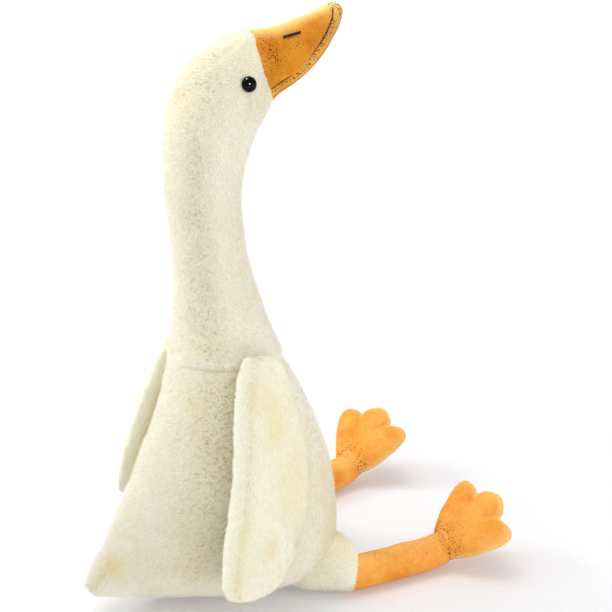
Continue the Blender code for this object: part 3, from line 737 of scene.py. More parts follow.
def speckled_painted_shade(roots, outward):
    """Painted shade with dark speckle on the pile, from 0 to 1.

    Each place gets the largest of five shares: behind the wings, along the sides of neck and torso,
    along the tail's seam, and a little on the throat.
    """
    edge_y = np.interp(roots[:, 2], (0.05, 0.10, 0.16, 0.20), (0.055, 0.047, 0.032, 0.022))
    distance = roots[:, 1] - edge_y
    flank = np.exp(-np.maximum(distance, 0) / SHADE_BAND_BEHIND_WINGS) * (distance > -0.02)
    flank *= np.clip((0.226 - roots[:, 2]) / 0.02, 0, 1) * np.clip((roots[:, 2] - 0.018) / 0.030, 0, 1)
    flank *= np.interp(roots[:, 2], (0.04, 0.12, 0.17), (0.74, 0.80, 1.10))
    # Painted shade by outward direction: the faces turned to the rear and side.
    side = groove(outward[:, 1] - SIDE_BAND_MIDDLE, SIDE_BAND_WIDTH)
    clouds = 0.5 + 0.5 * value_noise(roots, 0.022, 41)
    neck = NECK_SIDE_SHADE * side * np.clip((roots[:, 2] - 0.20) / 0.03, 0, 1) * (0.45 + 0.55 * clouds)
    low = LOW_SIDE_SHADE * side * np.clip((0.23 - roots[:, 2]) / 0.03, 0, 1) * clouds
    mirrored = np.column_stack((np.abs(roots[:, 0]), roots[:, 1:]))
    tail = groove(path_distance(mirrored, TAIL_SEAM), 0.0040)
    forward = np.clip((0.25 - outward[:, 1]) / 0.5, 0, 1)
    throat = THROAT_SHADE * forward * np.clip((roots[:, 2] - 0.22) / 0.04, 0, 1)
    shares = (FLANK_SHADE * flank, neck, low, TAIL_SEAM_SHADE * tail, throat)
    return np.clip(np.maximum.reduce(shares), 0, MOST_SHADE)


def body_yellow_and_shade(roots):
    """How yellow the pile is: a yellow-brown spot on each tail corner, and painted shade along the tail's
    seam and in the folds under the wings.
    """
    mirrored = np.column_stack((np.abs(roots[:, 0]), roots[:, 1:]))
    tail = groove(np.linalg.norm(mirrored - (0.0145, 0.111, 0.0504), axis=1), 0.010)
    fold_y = np.interp(roots[:, 2], (0.09, 0.14, 0.21), (0.060, 0.046, 0.032))
    fold = groove(roots[:, 1] - fold_y, 0.010) * (roots[:, 2] < 0.215) * (mirrored[:, 0] > 0.03)
    along_seam = groove(path_distance(mirrored, TAIL_SEAM), 0.0050)
    return np.clip(0.9 * tail + 0.5 * along_seam + 0.20 * fold, 0, 1)


along, around = spread_over(body_bag, BODY_TUFTS)
roots, outward, lengthwise = body_bag.at(along, around)
roots = roots + (body_relief(roots) - SKIN_DEPTH)[:, None] * outward
near_eye = np.hypot(roots[:, 1] - EYE_SPOT[0], roots[:, 2] - EYE_SPOT[1]) < EYE_CLEARING
kept = (ahead_of_joint(roots) < -0.0005) & ~near_eye & (roots[:, 2] > 0.0004)
for label, bottom, top in (("seat", 0.0, SEAT_PILE_TOP), ("torso", SEAT_PILE_TOP, NECK_CREASE_Z),
                           ("neck", NECK_CREASE_Z, 1.0)):
    chosen = kept & (roots[:, 2] >= bottom) & (roots[:, 2] < top)
    # Each pile piece gets painted shade with speckle, and a stored yellow with painted shade in the folds.
    mesh = pile_mesh(label + "_pile", roots[chosen], outward[chosen],
                     body_flow(roots[chosen], lengthwise[chosen]),
                     (along[chosen] / body_bag.length, around[chosen]), 11,
                     speckled_painted_shade(roots[chosen], outward[chosen]), body_yellow_and_shade(roots[chosen]))
    dressed(new_object(label + "_pile", mesh, pile_finish), None)

# %% [markdown]
# ## Wings
#
# A wing is two leaves sewn together round the edge, with a line of stitches inside the rear edge
# that makes a roll there. The rows below give its front and rear edge and its thickness on the way
# down. It curls round the torso, and each wing hangs at its own angle.

# %% Wings
WING_ROWS = (
    (0.000, -0.008, 0.016, 0.010),
    (0.006, -0.018, 0.023, 0.016),
    (0.026, -0.028, 0.026, 0.020),
    (0.056, -0.040, 0.026, 0.022),
    (0.092, -0.050, 0.026, 0.023),
    (0.128, -0.051, 0.027, 0.022),
    (0.160, -0.043, 0.028, 0.019),
    (0.184, -0.029, 0.028, 0.016),
    (0.197, -0.010, 0.023, 0.009),
)
WING_SIDES = 12
WING_CURL = 3.2
SHOULDER = (0.0560, -0.0040, 0.2290)
WING_POSE = {"right": (13.0, 10.5), "left": (15.0, 14.5)}
WING_CHANNEL = {"right": 0.0122, "left": 0.0135}
# How much fuller the padding pushes the rear edge than the pattern, halfway down
WING_FULLER = {"right": -0.0030, "left": 0.0085}
WING_THICKER = {"right": 1.0, "left": 1.35}
# Painted shade along each wing's sewn channel, as yellow and as dark speckle
CHANNEL_YELLOW_SHADE = {"right": 0.40, "left": 1.5}
CHANNEL_SPECKLED_SHADE = {"right": 0.20, "left": 0.14}
WING_TUFTS = 80000


def wing_place(side, sign):
    """Turn and shoulder of a wing: X outward, Y to the rear, Z up along the leaf."""
    lean, swing = np.radians(WING_POSE[side])
    lean *= -sign
    about_y = np.array(((math.cos(lean), 0, math.sin(lean)), (0, 1, 0),
                        (-math.sin(lean), 0, math.cos(lean))))
    about_x = np.array(((1, 0, 0), (0, math.cos(swing), -math.sin(swing)),
                        (0, math.sin(swing), math.cos(swing))))
    return about_x @ about_y, np.array((sign * SHOULDER[0], SHOULDER[1], SHOULDER[2]))


def wing_bag(side, sign):
    """The leaf as a bag whose rings lie across it."""
    turn, shoulder = wing_place(side, sign)
    angle = 2 * math.pi * np.arange(WING_SIDES) / WING_SIDES
    gain = cage_gain(WING_SIDES)
    rings = []
    for down, front, rear, thickness in WING_ROWS:
        rear += WING_FULLER[side] * math.sin(math.pi * min(down / WING_ROWS[-2][0], 1))
        along = (front + rear) / 2 - gain * (rear - front) / 2 * np.cos(angle)
        thickness *= WING_THICKER[side]
        out = gain * thickness / 2 * np.sin(angle) - WING_CURL * along ** 2
        local = np.column_stack((sign * out, along, np.full(WING_SIDES, -down)))
        ring = local @ turn.T + shoulder
        rings.append(ring if sign > 0 else ring[::-1])
    return Bag(rings)


def on_leaf(points, side, sign):
    """Distance down the leaf, and distance in from its rear edge."""
    turn, shoulder = wing_place(side, sign)
    local = (points - shoulder) @ turn
    down = -local[..., 2]
    rows = np.array(WING_ROWS)
    fuller = WING_FULLER[side] * np.sin(math.pi * np.clip(down / rows[-2, 0], 0, 1))
    return down, np.interp(down, rows[:, 0], rows[:, 2]) + fuller - local[..., 1]


def wing_relief(points, side, sign):
    """Lumps of filling, the sewn channel inside the rear edge, and the full roll outside it."""
    down, inside = on_leaf(points, side, sign)
    ends = np.clip((down - 0.03) / 0.05, 0, 1) * np.clip((0.190 - down) / 0.02, 0, 1)
    relief = 0.0009 * value_noise(points, 0.026, 5) + 0.0003 * value_noise(points, 0.010, 6)
    pulled = 0.65 + 0.7 * value_noise(points, 0.011, 7)
    relief -= 0.0015 * pulled * groove(inside - WING_CHANNEL[side], 0.0040) * ends
    return relief + 0.0018 * groove(inside - 0.45 * WING_CHANNEL[side], 0.45 * WING_CHANNEL[side]) * ends


LEAF_SPOTS = ((0.034, 0.026, 0.009, 0.35), (0.058, 0.031, 0.009, 0.45), (0.152, 0.036, 0.007, 0.7),
              (0.100, 0.050, 0.020, 0.25))


def wing_yellow_and_shade(points, side, sign):
    """How yellow the leaf is: a few yellow spots, and painted shade along the sewn channel."""
    down, inside = on_leaf(points, side, sign)
    broken = 0.6 + 0.5 * value_noise(points, 0.010, 14)
    yellow_and_shade = CHANNEL_YELLOW_SHADE[side] * broken * groove(inside - WING_CHANNEL[side], 0.0036) * (down > 0.02)
    for spot_down, spot_inside, size, depth in LEAF_SPOTS:
        yellow_and_shade += depth * groove(np.hypot((down - spot_down) / 1.5, inside - spot_inside), size)
    return np.clip(yellow_and_shade, 0, 1)


for side, sign in SIDES:
    bag = wing_bag(side, sign)
    points, outward, _ = bag.grid(150, 84)
    points = points + (wing_relief(points, side, sign) - SKIN_DEPTH)[..., None] * outward
    name = side + "_wing"
    wing = new_object(name + "_cloth", mesh_of_grid(name + "_cloth", laid_on_floor(points)),
                      leaf_skin_finish)
    dressed(wing, name)
    along, around = spread_over(bag, WING_TUFTS)
    roots, outward, lengthwise = bag.at(along, around)
    roots = roots + (wing_relief(roots, side, sign) - SKIN_DEPTH)[:, None] * outward
    _, inside = on_leaf(roots, side, sign)
    # Painted shade with speckle in the sewn channel, and a little speckled shade on the roll behind it
    channel_shade = (CHANNEL_SPECKLED_SHADE[side] * groove(inside - WING_CHANNEL[side], 0.0034)
              + 0.14 * (inside < WING_CHANNEL[side]))
    mesh = pile_mesh(name + "_pile", roots, outward, lengthwise, (along / bag.length, around), 21 + sign,
                     channel_shade, wing_yellow_and_shade(roots, side, sign))
    dressed(new_object(name + "_pile", mesh, leaf_finish), None)

# %% [markdown]
# ## Thighs and legs
#
# A leg is a fur lobe at the hip, a plain velour tube and a padded foot. The tubes lie on the floor.

# %% Tube rings
LEG_RADIUS = 0.0150
LEG_FLOOR_CLEARANCE = 0.0003
LEG_RING_SHARES = (-0.25, 0.1, 0.45, 0.78)
THIGH_ROWS = (
    (0.0760, 0.0120, 0.0310),
    (0.0670, 0.0210, 0.0295),
    (0.0490, 0.0275, 0.0280),
    (0.0290, 0.0285, 0.0280),
    (0.0120, 0.0255, 0.0250),
    (0.0030, 0.0205, 0.0195),
    (-0.0020, 0.0120, 0.0155),
)
TUBE_SIDES = 14
LEG_POSE = {
    "right": ((-0.0300, -0.0300), (-0.0635, -0.0870), (-0.0660, -0.1711, 0.0175)),
    "left": ((0.0430, -0.0300), (0.0880, -0.0840), (0.1090, -0.1761, 0.0175)),
}
FOOT_POSE = {"right": (14.0, 40.4, 19.0), "left": (17.5, 44.0, -3.5)}
THIGH_TUFTS = 26000


def tube_ring(centre, direction, radius, sides=TUBE_SIDES):
    """Round control ring about a point, square to a direction."""
    along = unit(np.array(direction, dtype=float))
    sideways = unit(np.cross(along, (0.0, 0.0, 1.0)))
    upright = np.cross(sideways, along)
    angle = 2 * math.pi * np.arange(sides)[:, None] / sides
    size = radius * cage_gain(sides)
    return np.array(centre) + size * (np.cos(angle) * sideways + np.sin(angle) * upright)


def leg_line(side):
    """Hip, knee, ankle and the level direction from knee to ankle."""
    hip, knee, ankle = (np.array(point) for point in LEG_POSE[side])
    along = np.append(unit(ankle[:2] - knee), 0.0)
    return np.append(hip, 0.0), np.append(knee, 0.0), ankle, along


def foot_axes(side, sign):
    """Toe direction, inner side and upper side of a foot as unit vectors."""
    out, up, roll = np.radians(FOOT_POSE[side])
    toes = np.array((sign * math.sin(out) * math.cos(up), -math.cos(out) * math.cos(up), math.sin(up)))
    inner = np.array((-sign * math.cos(out), -math.sin(out), 0.0))
    upper = np.cross(toes, inner)
    upper = upper if upper[2] > 0 else -upper
    return (toes, inner * math.cos(roll) + upper * math.sin(roll),
            unit(upper * math.cos(roll) - inner * math.sin(roll)))


# %% Thighs
for side, sign in SIDES:
    hip, knee, _, _ = leg_line(side)
    forward = unit(knee - hip)
    bag = Bag([tube_ring(knee - behind * forward + (0, 0, height), forward, radius)
               for behind, radius, height in THIGH_ROWS])
    points, outward, _ = bag.grid(70, 84)
    relief = 0.0007 * value_noise(points, 0.022, 8) - SKIN_DEPTH
    name = side + "_thigh"
    points = laid_on_floor(points + relief[..., None] * outward)
    thigh = new_object(name + "_cloth", mesh_of_grid(name + "_cloth", points), leaf_skin_finish)
    dressed(thigh, name)
    along, around = spread_over(bag, THIGH_TUFTS)
    roots, outward, lengthwise = bag.at(along, around)
    roots = roots + (0.0007 * value_noise(roots, 0.022, 8) - SKIN_DEPTH)[:, None] * outward
    kept = roots[:, 2] > 0.0004
    mesh = pile_mesh(name + "_pile", roots[kept], outward[kept], lengthwise[kept],
                     (along[kept] / bag.length, around[kept]), 31 + sign)
    dressed(new_object(name + "_pile", mesh, leaf_finish), None)

# %% [markdown]
# ## Orange velour
#
# Velour has a nap under a millimetre high: too short for tufts, but it still turns pale where it is
# seen edge on. So it gets a light sheen, slow patches of two oranges, a fine grain, and dark flecks
# at the ankle seams, the heels, the bill's base, tip and nostrils and below its mouth seam. It is
# paler in painted sheen on the top of the legs, the sewn edges of the feet and the bill's top and
# bottom edges, and paler also at the bill's tip and along its lower jaw. It reflects very little
# else, because a plain highlight turns the orange grey.

# %% Velour finish
PALE_NAP_AND_SHEEN = (250, 222, 144)
FLECK_GAIN = 0.31


def velour_material(name, deep, pale, fleck, patch_scale):
    """Velour of two oranges in patches: paler where the stored painted sheen and pale nap is high, and
    flecked where the stored flecks are.
    """
    made, tree, shader = new_material(name, 0.9, sheen=0.30, sheen_tint=(255, 216, 150),
                                      sheen_roughness=0.14, specular=0.08)
    patches = ramp_of(tree, noise_of(tree, patch_scale, 4.0, 0.6), (
        (0.36, linear(*deep)), (0.62, linear(*pale))))
    grain = ramp_of(tree, noise_of(tree, 1100.0, 2.0), (
        (0.30, linear(232, 220, 204)), (0.52, linear(255, 255, 255))))
    fleck_amount = tree.nodes.new("ShaderNodeAttribute")
    fleck_amount.attribute_name = "fleck_amount"
    raised = tree.nodes.new("ShaderNodeMath")
    raised.operation = "MULTIPLY_ADD"
    raised.inputs[1].default_value = FLECK_GAIN
    tree.links.new(fleck_amount.outputs["Fac"], raised.inputs[0])
    tree.links.new(noise_of(tree, 820.0, 1.0), raised.inputs[2])
    flecks = ramp_of(tree, raised.outputs[0], ((0.745, linear(255, 255, 255)), (0.82, linear(*fleck))))
    sheen_and_pale_nap = tree.nodes.new("ShaderNodeAttribute")
    sheen_and_pale_nap.attribute_name = "sheen_and_pale_nap"
    nap = mix_of(tree, sheen_and_pale_nap.outputs["Fac"], patches, linear(*PALE_NAP_AND_SHEEN))
    colour = mix_of(tree, 1.0, mix_of(tree, 1.0, nap, grain, "MULTIPLY"), flecks, "MULTIPLY")
    tree.links.new(colour, shader.inputs["Base Color"])
    bump_of(tree, shader, noise_of(tree, 1400.0, 2.0), 0.5, 0.0004)
    return made


def nap_values(mesh, fleck_amount, sheen_and_pale_nap):
    """Stores two grids of values from 0 to 1: how flecked the nap is, and how pale, as painted sheen and
    pale nap.
    """
    for name, values in (("fleck_amount", fleck_amount), ("sheen_and_pale_nap", sheen_and_pale_nap)):
        ends = [values[0].mean(), values[-1].mean()]
        point_values(mesh, name, np.concatenate((values[1:-1].ravel(), ends)))


leg_finish = velour_material("orange_velour_leg", (234, 146, 50), (248, 174, 82), (112, 90, 36), 38.0)
bill_finish = velour_material("orange_velour_bill", (198, 118, 16), (216, 144, 38), (94, 82, 28), 46.0)
print("velour:", leg_finish.name, bill_finish.name)

# %% Legs
NAP_DEPTH = 0.0004


def leg_bag(side, sign):
    """The tube from inside the thigh to the ankle, and on into the foot."""
    _, knee, ankle, along = leg_line(side)
    toes, _, _ = foot_axes(side, sign)
    reach = np.linalg.norm(ankle[:2] - knee[:2])
    height = np.array((0, 0, LEG_RADIUS + LEG_FLOOR_CLEARANCE))
    rings = [tube_ring(knee + share * reach * along + height, along, LEG_RADIUS)
             for share in LEG_RING_SHARES]
    rings.append(tube_ring(ankle, unit(along + toes), LEG_RADIUS))
    rings.append(tube_ring(ankle + LEG_RADIUS * toes, toes, LEG_RADIUS))
    return Bag(rings)


for side, sign in SIDES:
    bag = leg_bag(side, sign)
    points, outward, _ = bag.grid(90, 64)
    _, knee, ankle, along = leg_line(side)
    toes, _, _ = foot_axes(side, sign)
    from_ankle = (points - ankle) @ unit(along + toes)
    relief = 0.0005 * value_noise(points, 0.016, 9) - NAP_DEPTH - 0.0014 * groove(from_ankle, 0.0018)
    points = laid_on_floor(points + relief[..., None] * outward, 0.0003)
    name = side + "_leg"
    leg = new_object(name + "_cloth", mesh_of_grid(name + "_cloth", points), leg_finish)
    # Flecks round the ankle seam; painted highlight: paler nap on the leg's upper side.
    nap_values(leg.data, 0.4 * groove(from_ankle, 0.006), 0.25 * np.clip(outward[..., 2], 0, 1) ** 2)
    dressed(leg, name)

# %% [markdown]
# ## Feet
#
# A foot is two three-toed pieces of velour sewn round the edge and filled. The outline is a distance
# for each angle about the palm. Between the toes the seam runs in, so a valley follows each notch.

# %% Feet
PALM_AHEAD = 0.0300
FOOT_OUTLINE = (
    (0, 0.0411), (14, 0.0382), (26, 0.0355), (35, 0.0315), (43, 0.0379), (53, 0.0461),
    (65, 0.0474), (79, 0.0403), (99, 0.0342), (124, 0.0319), (150, 0.0350), (180, 0.0423),
)
FOOT_ANKLE_HALF_THICKNESS = 0.0155
FOOT_TOE_HALF_THICKNESS = 0.0100
FOOT_SHELLS = ((0.93, 0.40), (0.74, 0.78), (0.42, 1.00))
NOTCH_ANGLE = math.radians(35)


def foot_bag(side, sign):
    """The padded foot as a bag whose rings go from its lower to its upper side."""
    ankle = leg_line(side)[2]
    toes, inner, upper = foot_axes(side, sign)
    outline = list(FOOT_OUTLINE) + [(360 - turn, reach) for turn, reach in FOOT_OUTLINE[-2:0:-1]]
    angle = np.radians([entry[0] for entry in outline])
    reach = np.array([entry[1] for entry in outline])

    def layer(share, thick):
        """Control ring at a share of the way out, raised by a share of the thickness."""
        ahead = PALM_AHEAD + share * reach * np.cos(angle)
        to_side = share * reach * np.sin(angle)
        towards_toes = np.clip(ahead / (PALM_AHEAD + reach[0] * 0.5), 0, 1)
        half = (FOOT_ANKLE_HALF_THICKNESS
                + (FOOT_TOE_HALF_THICKNESS - FOOT_ANKLE_HALF_THICKNESS) * towards_toes)
        return ankle + np.outer(ahead, toes) + np.outer(to_side, inner) + np.outer(thick * half, upper)

    rings = [layer(share, -thick) for share, thick in reversed(FOOT_SHELLS)]
    rings += [layer(1.0, 0.0)] + [layer(share, thick) for share, thick in FOOT_SHELLS]
    if np.cross(toes, inner) @ upper > 0:
        rings = [ring[::-1] for ring in rings]
    return Bag(rings)


def foot_relief(points, outward, side, sign):
    """Lumps, the sewn edge, and a valley along each notch that fades towards the edge."""
    ankle = leg_line(side)[2]
    toes, inner, upper = foot_axes(side, sign)
    from_ankle = points - ankle
    ahead = from_ankle @ toes - PALM_AHEAD
    to_side = from_ankle @ inner
    out = np.hypot(ahead, to_side)
    off_notch = np.abs(np.arctan2(to_side, ahead))
    off_notch = out * np.abs(np.sin(off_notch - NOTCH_ANGLE))
    valley = groove(off_notch, 0.0026) * np.clip((out - 0.008) / 0.014, 0, 1) * (ahead > 0)
    valley *= np.abs(outward @ upper)
    relief = 0.0006 * value_noise(points, 0.014, 10) - NAP_DEPTH - 0.0026 * valley
    return relief - 0.0008 * groove(from_ankle @ upper, 0.0009) * (ahead + PALM_AHEAD > 0.008)


for side, sign in SIDES:
    bag = foot_bag(side, sign)
    points, outward, _ = bag.grid(80, 180)
    points = points + foot_relief(points, outward, side, sign)[..., None] * outward
    name = side + "_foot"
    foot = new_object(name + "_cloth", mesh_of_grid(name + "_cloth", laid_on_floor(points, 0.0003)),
                      leg_finish)
    # Flecks near the heel; painted sheen: paler nap along the sewn edge.
    from_ankle = points - leg_line(side)[2]
    edge = groove(from_ankle @ foot_axes(side, sign)[2], 0.0045)
    nap_values(foot.data, groove(np.linalg.norm(from_ankle, axis=-1), 0.024), 0.60 * edge)
    dressed(foot, name)

# %% [markdown]
# ## Bill
#
# The bill is velour too, with a seam along the mouth that divides a narrow lower jaw from the upper
# part. It starts a little under the fur, so no gap shows at the joint.

# %% Bill
BILL_STATIONS = (
    ((-0.0521, 0.4250), (-0.0371, 0.4722), 0.0262),
    ((-0.0680, 0.4350), (-0.0486, 0.4743), 0.0230),
    ((-0.0820, 0.4465), (-0.0624, 0.4783), 0.0195),
    ((-0.0920, 0.4593), (-0.0747, 0.4817), 0.0155),
    ((-0.0983, 0.4700), (-0.0836, 0.4845), 0.0120),
    ((-0.1018, 0.4778), (-0.0895, 0.4872), 0.0090),
    ((-0.1028, 0.4840), (-0.0962, 0.4890), 0.0045),
)
MOUTH_SEAM = np.array((
    (0.0275, -0.0266, 0.4310), (0.0250, -0.0369, 0.4350), (0.0229, -0.0470, 0.4393),
    (0.0218, -0.0532, 0.4425), (0.0212, -0.0590, 0.4468), (0.0205, -0.0660, 0.4540),
    (0.0194, -0.0714, 0.4591), (0.0181, -0.0760, 0.4638), (0.0152, -0.0826, 0.4718),
    (0.0117, -0.0874, 0.4790), (0.0076, -0.0897, 0.4842), (0.0, -0.0925, 0.4880)))


def bill_relief(points):
    """The drawn-in mouth seam, full cheeks above and below it, and small lumps."""
    mirrored = points * (1, 1, 1)
    mirrored[..., 0] = np.abs(mirrored[..., 0])
    mouth = path_distance(mirrored, MOUTH_SEAM)
    relief = 0.0004 * value_noise(points, 0.012, 12) - 0.0006
    return relief - 0.0016 * groove(mouth, 0.0014) + 0.0008 * groove(mouth, 0.0055)


bill_bag = Bag([chord_ring(*HEAD_STATIONS[-1]), joint_ring(0.0)]
               + [chord_ring(*station) for station in BILL_STATIONS])
points, outward, _ = bill_bag.grid(240, 200)
relief = bill_relief(points) + tucked(-0.0010 - ahead_of_joint(points))
points = points + relief[..., None] * outward
bill = new_object("bill_cloth", mesh_of_grid("bill_cloth", points), bill_finish)
mirrored = points * (1, 1, 1)
mirrored[..., 0] = np.abs(mirrored[..., 0])
seam_side = path_distance(mirrored, MOUTH_SEAM - (0, 0, 0.004))
to_tip = np.linalg.norm(points - (0, -0.0975, 0.482), axis=-1)
from_base = path_distance(mirrored, np.array(((0.0213, -0.0250, 0.4635), (0.0270, -0.0290, 0.4520))))
from_nostril = np.linalg.norm(mirrored - (0.0218, -0.0532, 0.4613), axis=-1)
fleck_share = np.maximum.reduce((0.80 * groove(seam_side, 0.0038), groove(to_tip, 0.014),
                             0.62 * groove(from_base, 0.012), 0.6 * groove(from_nostril, 0.007)))
# Painted sheen: the nap is paler on the bill's top and bottom edges, and also paler at the tip and along
# the lower jaw.
edge = np.clip(1 - np.abs(outward[..., 0]) / 0.62, 0, 1)
below = groove(path_distance(mirrored, MOUTH_SEAM - (0, -0.0010, 0.0062)), 0.0042)
nap_values(bill.data, fleck_share, np.clip(0.85 * edge + 0.75 * groove(to_tip, 0.013) + 0.34 * below, 0, 1))
dressed(bill, "bill")

# %% [markdown]
# ## Eyes and nostrils
#
# The eye is a polished black dome, pressed into the fur by its shank. A turned profile gives the
# dome; its two highlights come from two small lamps of their own. A nostril is a few satin stitches
# of black thread that cross a short line.

# %% Eyes
EYE_RADIUS, EYE_DOME_HEIGHT, EYE_SUNK = 0.0060, 0.0042, 0.0010


def fine_grid(bag):
    """Points and outward directions of a bag, close enough together to look a place up."""
    points, outward, _ = bag.grid(900, 500)
    return points.reshape(-1, 3), outward.reshape(-1, 3)


def surface_place(fine, side_view, sign):
    """Point and outward direction at a place in the side view, on one side."""
    points, outward = fine
    miss = np.hypot(points[:, 1] - side_view[0], points[:, 2] - side_view[1])
    best = np.argmin(miss + (points[:, 0] * sign < 0))
    return points[best], outward[best]


body_places = fine_grid(body_bag)
bill_places = fine_grid(bill_bag)


def turned_surface(profile, place, axis, steps):
    """Grid of a profile of (radius, height) turned about an axis through a place."""
    side = unit(np.cross(axis, (0.0, 0.0, 1.0)))
    up = np.cross(side, axis)
    angle = 2 * math.pi * np.arange(steps) / steps
    ring = np.cos(angle)[:, None] * side + np.sin(angle)[:, None] * up
    radius, height = np.array(profile).T
    return place + radius[:, None, None] * ring + height[:, None, None] * axis


eye_finish, _, eye_shader = new_material("black_plastic", 0.05, specular=0.10)
eye_shader.inputs["Base Color"].default_value = linear(5, 4, 4)

for side, sign in SIDES:
    place, axis = surface_place(body_places, EYE_SPOT, sign)
    angle = np.linspace(0, math.pi / 2, 18)
    dome = [(EYE_RADIUS * math.sin(turn), EYE_DOME_HEIGHT * math.cos(turn) - EYE_SUNK) for turn in angle]
    shank = [(EYE_RADIUS * 0.96, -EYE_SUNK - 0.001), (0.0022, -EYE_SUNK - 0.001), (0.0022, -0.013),
             (0.0, -0.013)]
    points = turned_surface(dome + shank, place, axis, 48)
    eye = new_object(side + "_eye_dome", mesh_of_grid(side + "_eye_dome", points), eye_finish)
    dressed(eye, side + "_eye")

# %% Nostrils
NOSTRIL_BACK, NOSTRIL_FRONT = (-0.0425, 0.4674), (-0.0560, 0.4698)
STITCHES = 7
thread_finish, _, thread_shader = new_material("black_thread", 0.6, specular=0.1)
thread_shader.inputs["Base Color"].default_value = linear(14, 12, 10)


def thread_mesh(name, starts, ends, radius, rows=7, sides=8):
    """Short threads as closed spindles: each is a tube whose radius is a half circle's root."""
    share = np.linspace(0, 1, rows)
    across = unit(ends - starts)
    first = unit(np.cross(across, (0.13, 0.21, 0.97)))
    second = np.cross(across, first)
    angle = 2 * math.pi * np.arange(sides) / sides
    bulge = radius * np.sqrt(np.clip(1 - (2 * share - 1) ** 4, 0, 1))
    ring = (np.cos(angle)[None, :, None] * first[:, None] + np.sin(angle)[None, :, None] * second[:, None])
    middle = starts[:, None] + share[None, :, None] * (ends - starts)[:, None]
    grids = middle[:, :, None] + bulge[None, :, None, None] * ring[:, None]
    meshes = [mesh_of_grid(name, grid[:, ::-1]) for grid in grids]
    points = np.vstack([np.array([v.co for v in mesh.vertices]) for mesh in meshes])
    faces, shift = [], 0
    for mesh in meshes:
        faces += [[spot + shift for spot in face.vertices] for face in mesh.polygons]
        shift += len(mesh.vertices)
    joined = meshes[0]
    for mesh in meshes[1:]:
        bpy.data.meshes.remove(mesh)
    joined.clear_geometry()
    joined.from_pydata(points.tolist(), [], faces)
    joined.shade_smooth()
    return joined


for side, sign in SIDES:
    starts, ends = [], []
    for step in np.linspace(0, 1, STITCHES):
        spot = np.array(NOSTRIL_BACK) + step * (np.array(NOSTRIL_FRONT) - np.array(NOSTRIL_BACK))
        for rise, bucket in ((-0.0009, starts), (0.0009, ends)):
            shifted = spot + (-1.4 * rise, rise)
            point, outward = surface_place(bill_places, shifted, sign)
            bucket.append(point + 0.0002 * outward)
    mesh = thread_mesh(side + "_nostril_stitches", np.array(starts), np.array(ends), 0.0008)
    stitches = new_object(side + "_nostril_stitches", mesh, thread_finish)
    dressed(stitches, side + "_nostril")

# %% [markdown]
# The mouth is closed with dark thread, which lies in the seam as a row of short back stitches.

# %% Mouth stitches
MOUTH_STITCHES = 34
MOUTH_THREAD = 0.00050
STITCH_OVERLAP = 0.0004


def along_path(path, shares):
    """Points at shares of the length of a row of straight pieces."""
    steps = np.linalg.norm(np.diff(path, axis=0), axis=1)
    marks = np.concatenate(([0], np.cumsum(steps))) / steps.sum()
    return np.column_stack([np.interp(shares, marks, path[:, axis]) for axis in range(3)])


mouth_finish, _, mouth_shader = new_material("mouth_thread", 0.7, specular=0.1)
mouth_shader.inputs["Base Color"].default_value = linear(104, 50, 14)
for side, sign in SIDES:
    route = along_path(MOUTH_SEAM, np.linspace(0.0, 0.95, MOUTH_STITCHES + 1))
    on_bill = np.array([surface_place(bill_places, spot[1:], sign)[0] for spot in route])
    outward = np.array([surface_place(bill_places, spot[1:], sign)[1] for spot in route])
    on_bill -= 0.0011 * outward
    reach = STITCH_OVERLAP * unit(on_bill[1:] - on_bill[:-1])
    mesh = thread_mesh(side + "_mouth_stitches", on_bill[:-1] - reach, on_bill[1:] + reach, MOUTH_THREAD)
    dressed(new_object(side + "_mouth_stitches", mesh, mouth_finish), None)

# %% [markdown]
# ## Studio
#
# A pale floor and pale surroundings, with four soft lights: one overhead, one high behind the swan's
# back, which gives the bright rim, and two weak ones low down, in front and at the side. Two small
# lamps make the highlights in the near eye, and add no diffuse light.

# %% Studio


def area_light(name, place, size, power, aim=CAMERA_TARGET):
    """A square soft light that looks at the swan, or at another place."""
    data = bpy.data.lights.new(name, "AREA")
    data.size = size
    data.energy = power
    lamp = bpy.data.objects.new(name, data)
    lamp.location = place
    lamp.rotation_euler = (Vector(aim) - Vector(place)).to_track_quat("-Z", "Y").to_euler()
    bpy.context.scene.collection.objects.link(lamp)
    return lamp


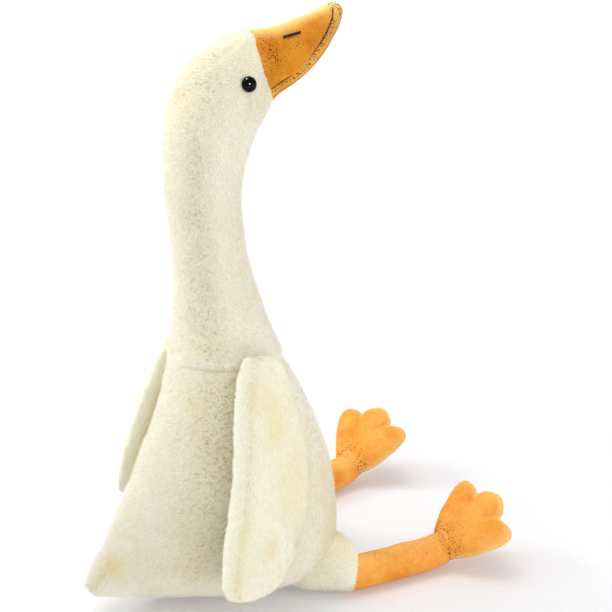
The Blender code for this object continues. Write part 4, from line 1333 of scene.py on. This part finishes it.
world = bpy.data.worlds.new("studio")
world.use_nodes = True
world.node_tree.nodes["Background"].inputs["Color"].default_value = (1.0, 1.0, 1.0, 1.0)
world.node_tree.nodes["Background"].inputs["Strength"].default_value = 0.75
bpy.context.scene.world = world
bpy.context.scene.view_settings.view_transform = "Standard"
area_light("overhead", (0.15, 0.20, 1.75), 1.0, 11.5)
area_light("key_behind", (0.85, 1.05, 1.15), 0.45, 9.0)
area_light("front_fill", (-0.62, -0.70, 0.14), 0.6, 1.3, (0.0, -0.05, 0.07))
area_light("side_fill", (-0.95, 0.10, 0.12), 0.5, 1.2, (0.0, 0.02, 0.04))
EYE_PLACE = Vector((-0.037, EYE_SPOT[0], EYE_SPOT[1]))
for name, direction in (("catch_above", (0.041, 0.183, 0.976)), ("catch_side", (-0.94, -0.146, 0.277))):
    catch = area_light(name, EYE_PLACE + 0.6 * Vector(direction), 0.10, 7.0, EYE_PLACE)
    catch.visible_diffuse = False

# The sweep glows with distance, as a lit paper background does, and is plain paper near the swan
floor_finish, floor_tree, floor_shader = new_material("studio_floor", 0.85)
floor_shader.inputs["Base Color"].default_value = linear(214, 214, 217)
floor_shader.inputs["Emission Color"].default_value = (1.0, 1.0, 1.0, 1.0)
floor_place = floor_tree.nodes.new("ShaderNodeTexCoord")
floor_distance = floor_tree.nodes.new("ShaderNodeVectorMath")
floor_distance.operation = "LENGTH"
floor_glow = floor_tree.nodes.new("ShaderNodeMapRange")
for socket, value in (("From Min", 0.30), ("From Max", 1.80), ("To Min", 0.16), ("To Max", 0.60)):
    floor_glow.inputs[socket].default_value = value
floor_tree.links.new(floor_place.outputs["Object"], floor_distance.inputs[0])
floor_tree.links.new(floor_distance.outputs["Value"], floor_glow.inputs["Value"])
floor_tree.links.new(floor_glow.outputs["Result"], floor_shader.inputs["Emission Strength"])
floor_mesh = bpy.data.meshes.new("studio_floor")
FLOOR_HALF = 40.0
floor_mesh.from_pydata([(x, y, -0.0002) for x, y in (
    (-FLOOR_HALF, -FLOOR_HALF), (FLOOR_HALF, -FLOOR_HALF), (FLOOR_HALF, FLOOR_HALF),
    (-FLOOR_HALF, FLOOR_HALF))], [], [(0, 1, 2, 3)])
new_object("studio_floor", floor_mesh, floor_finish)

# %% Washers, and the end
for side, _ in SIDES:
    finish, tree, shader = new_material(side + "_washer_nylon", 0.5)
    shader.inputs["Base Color"].default_value = linear(235, 234, 226)
    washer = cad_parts[side + "_eye_washer"]
    washer.data.materials.clear()
    washer.data.materials.append(finish)
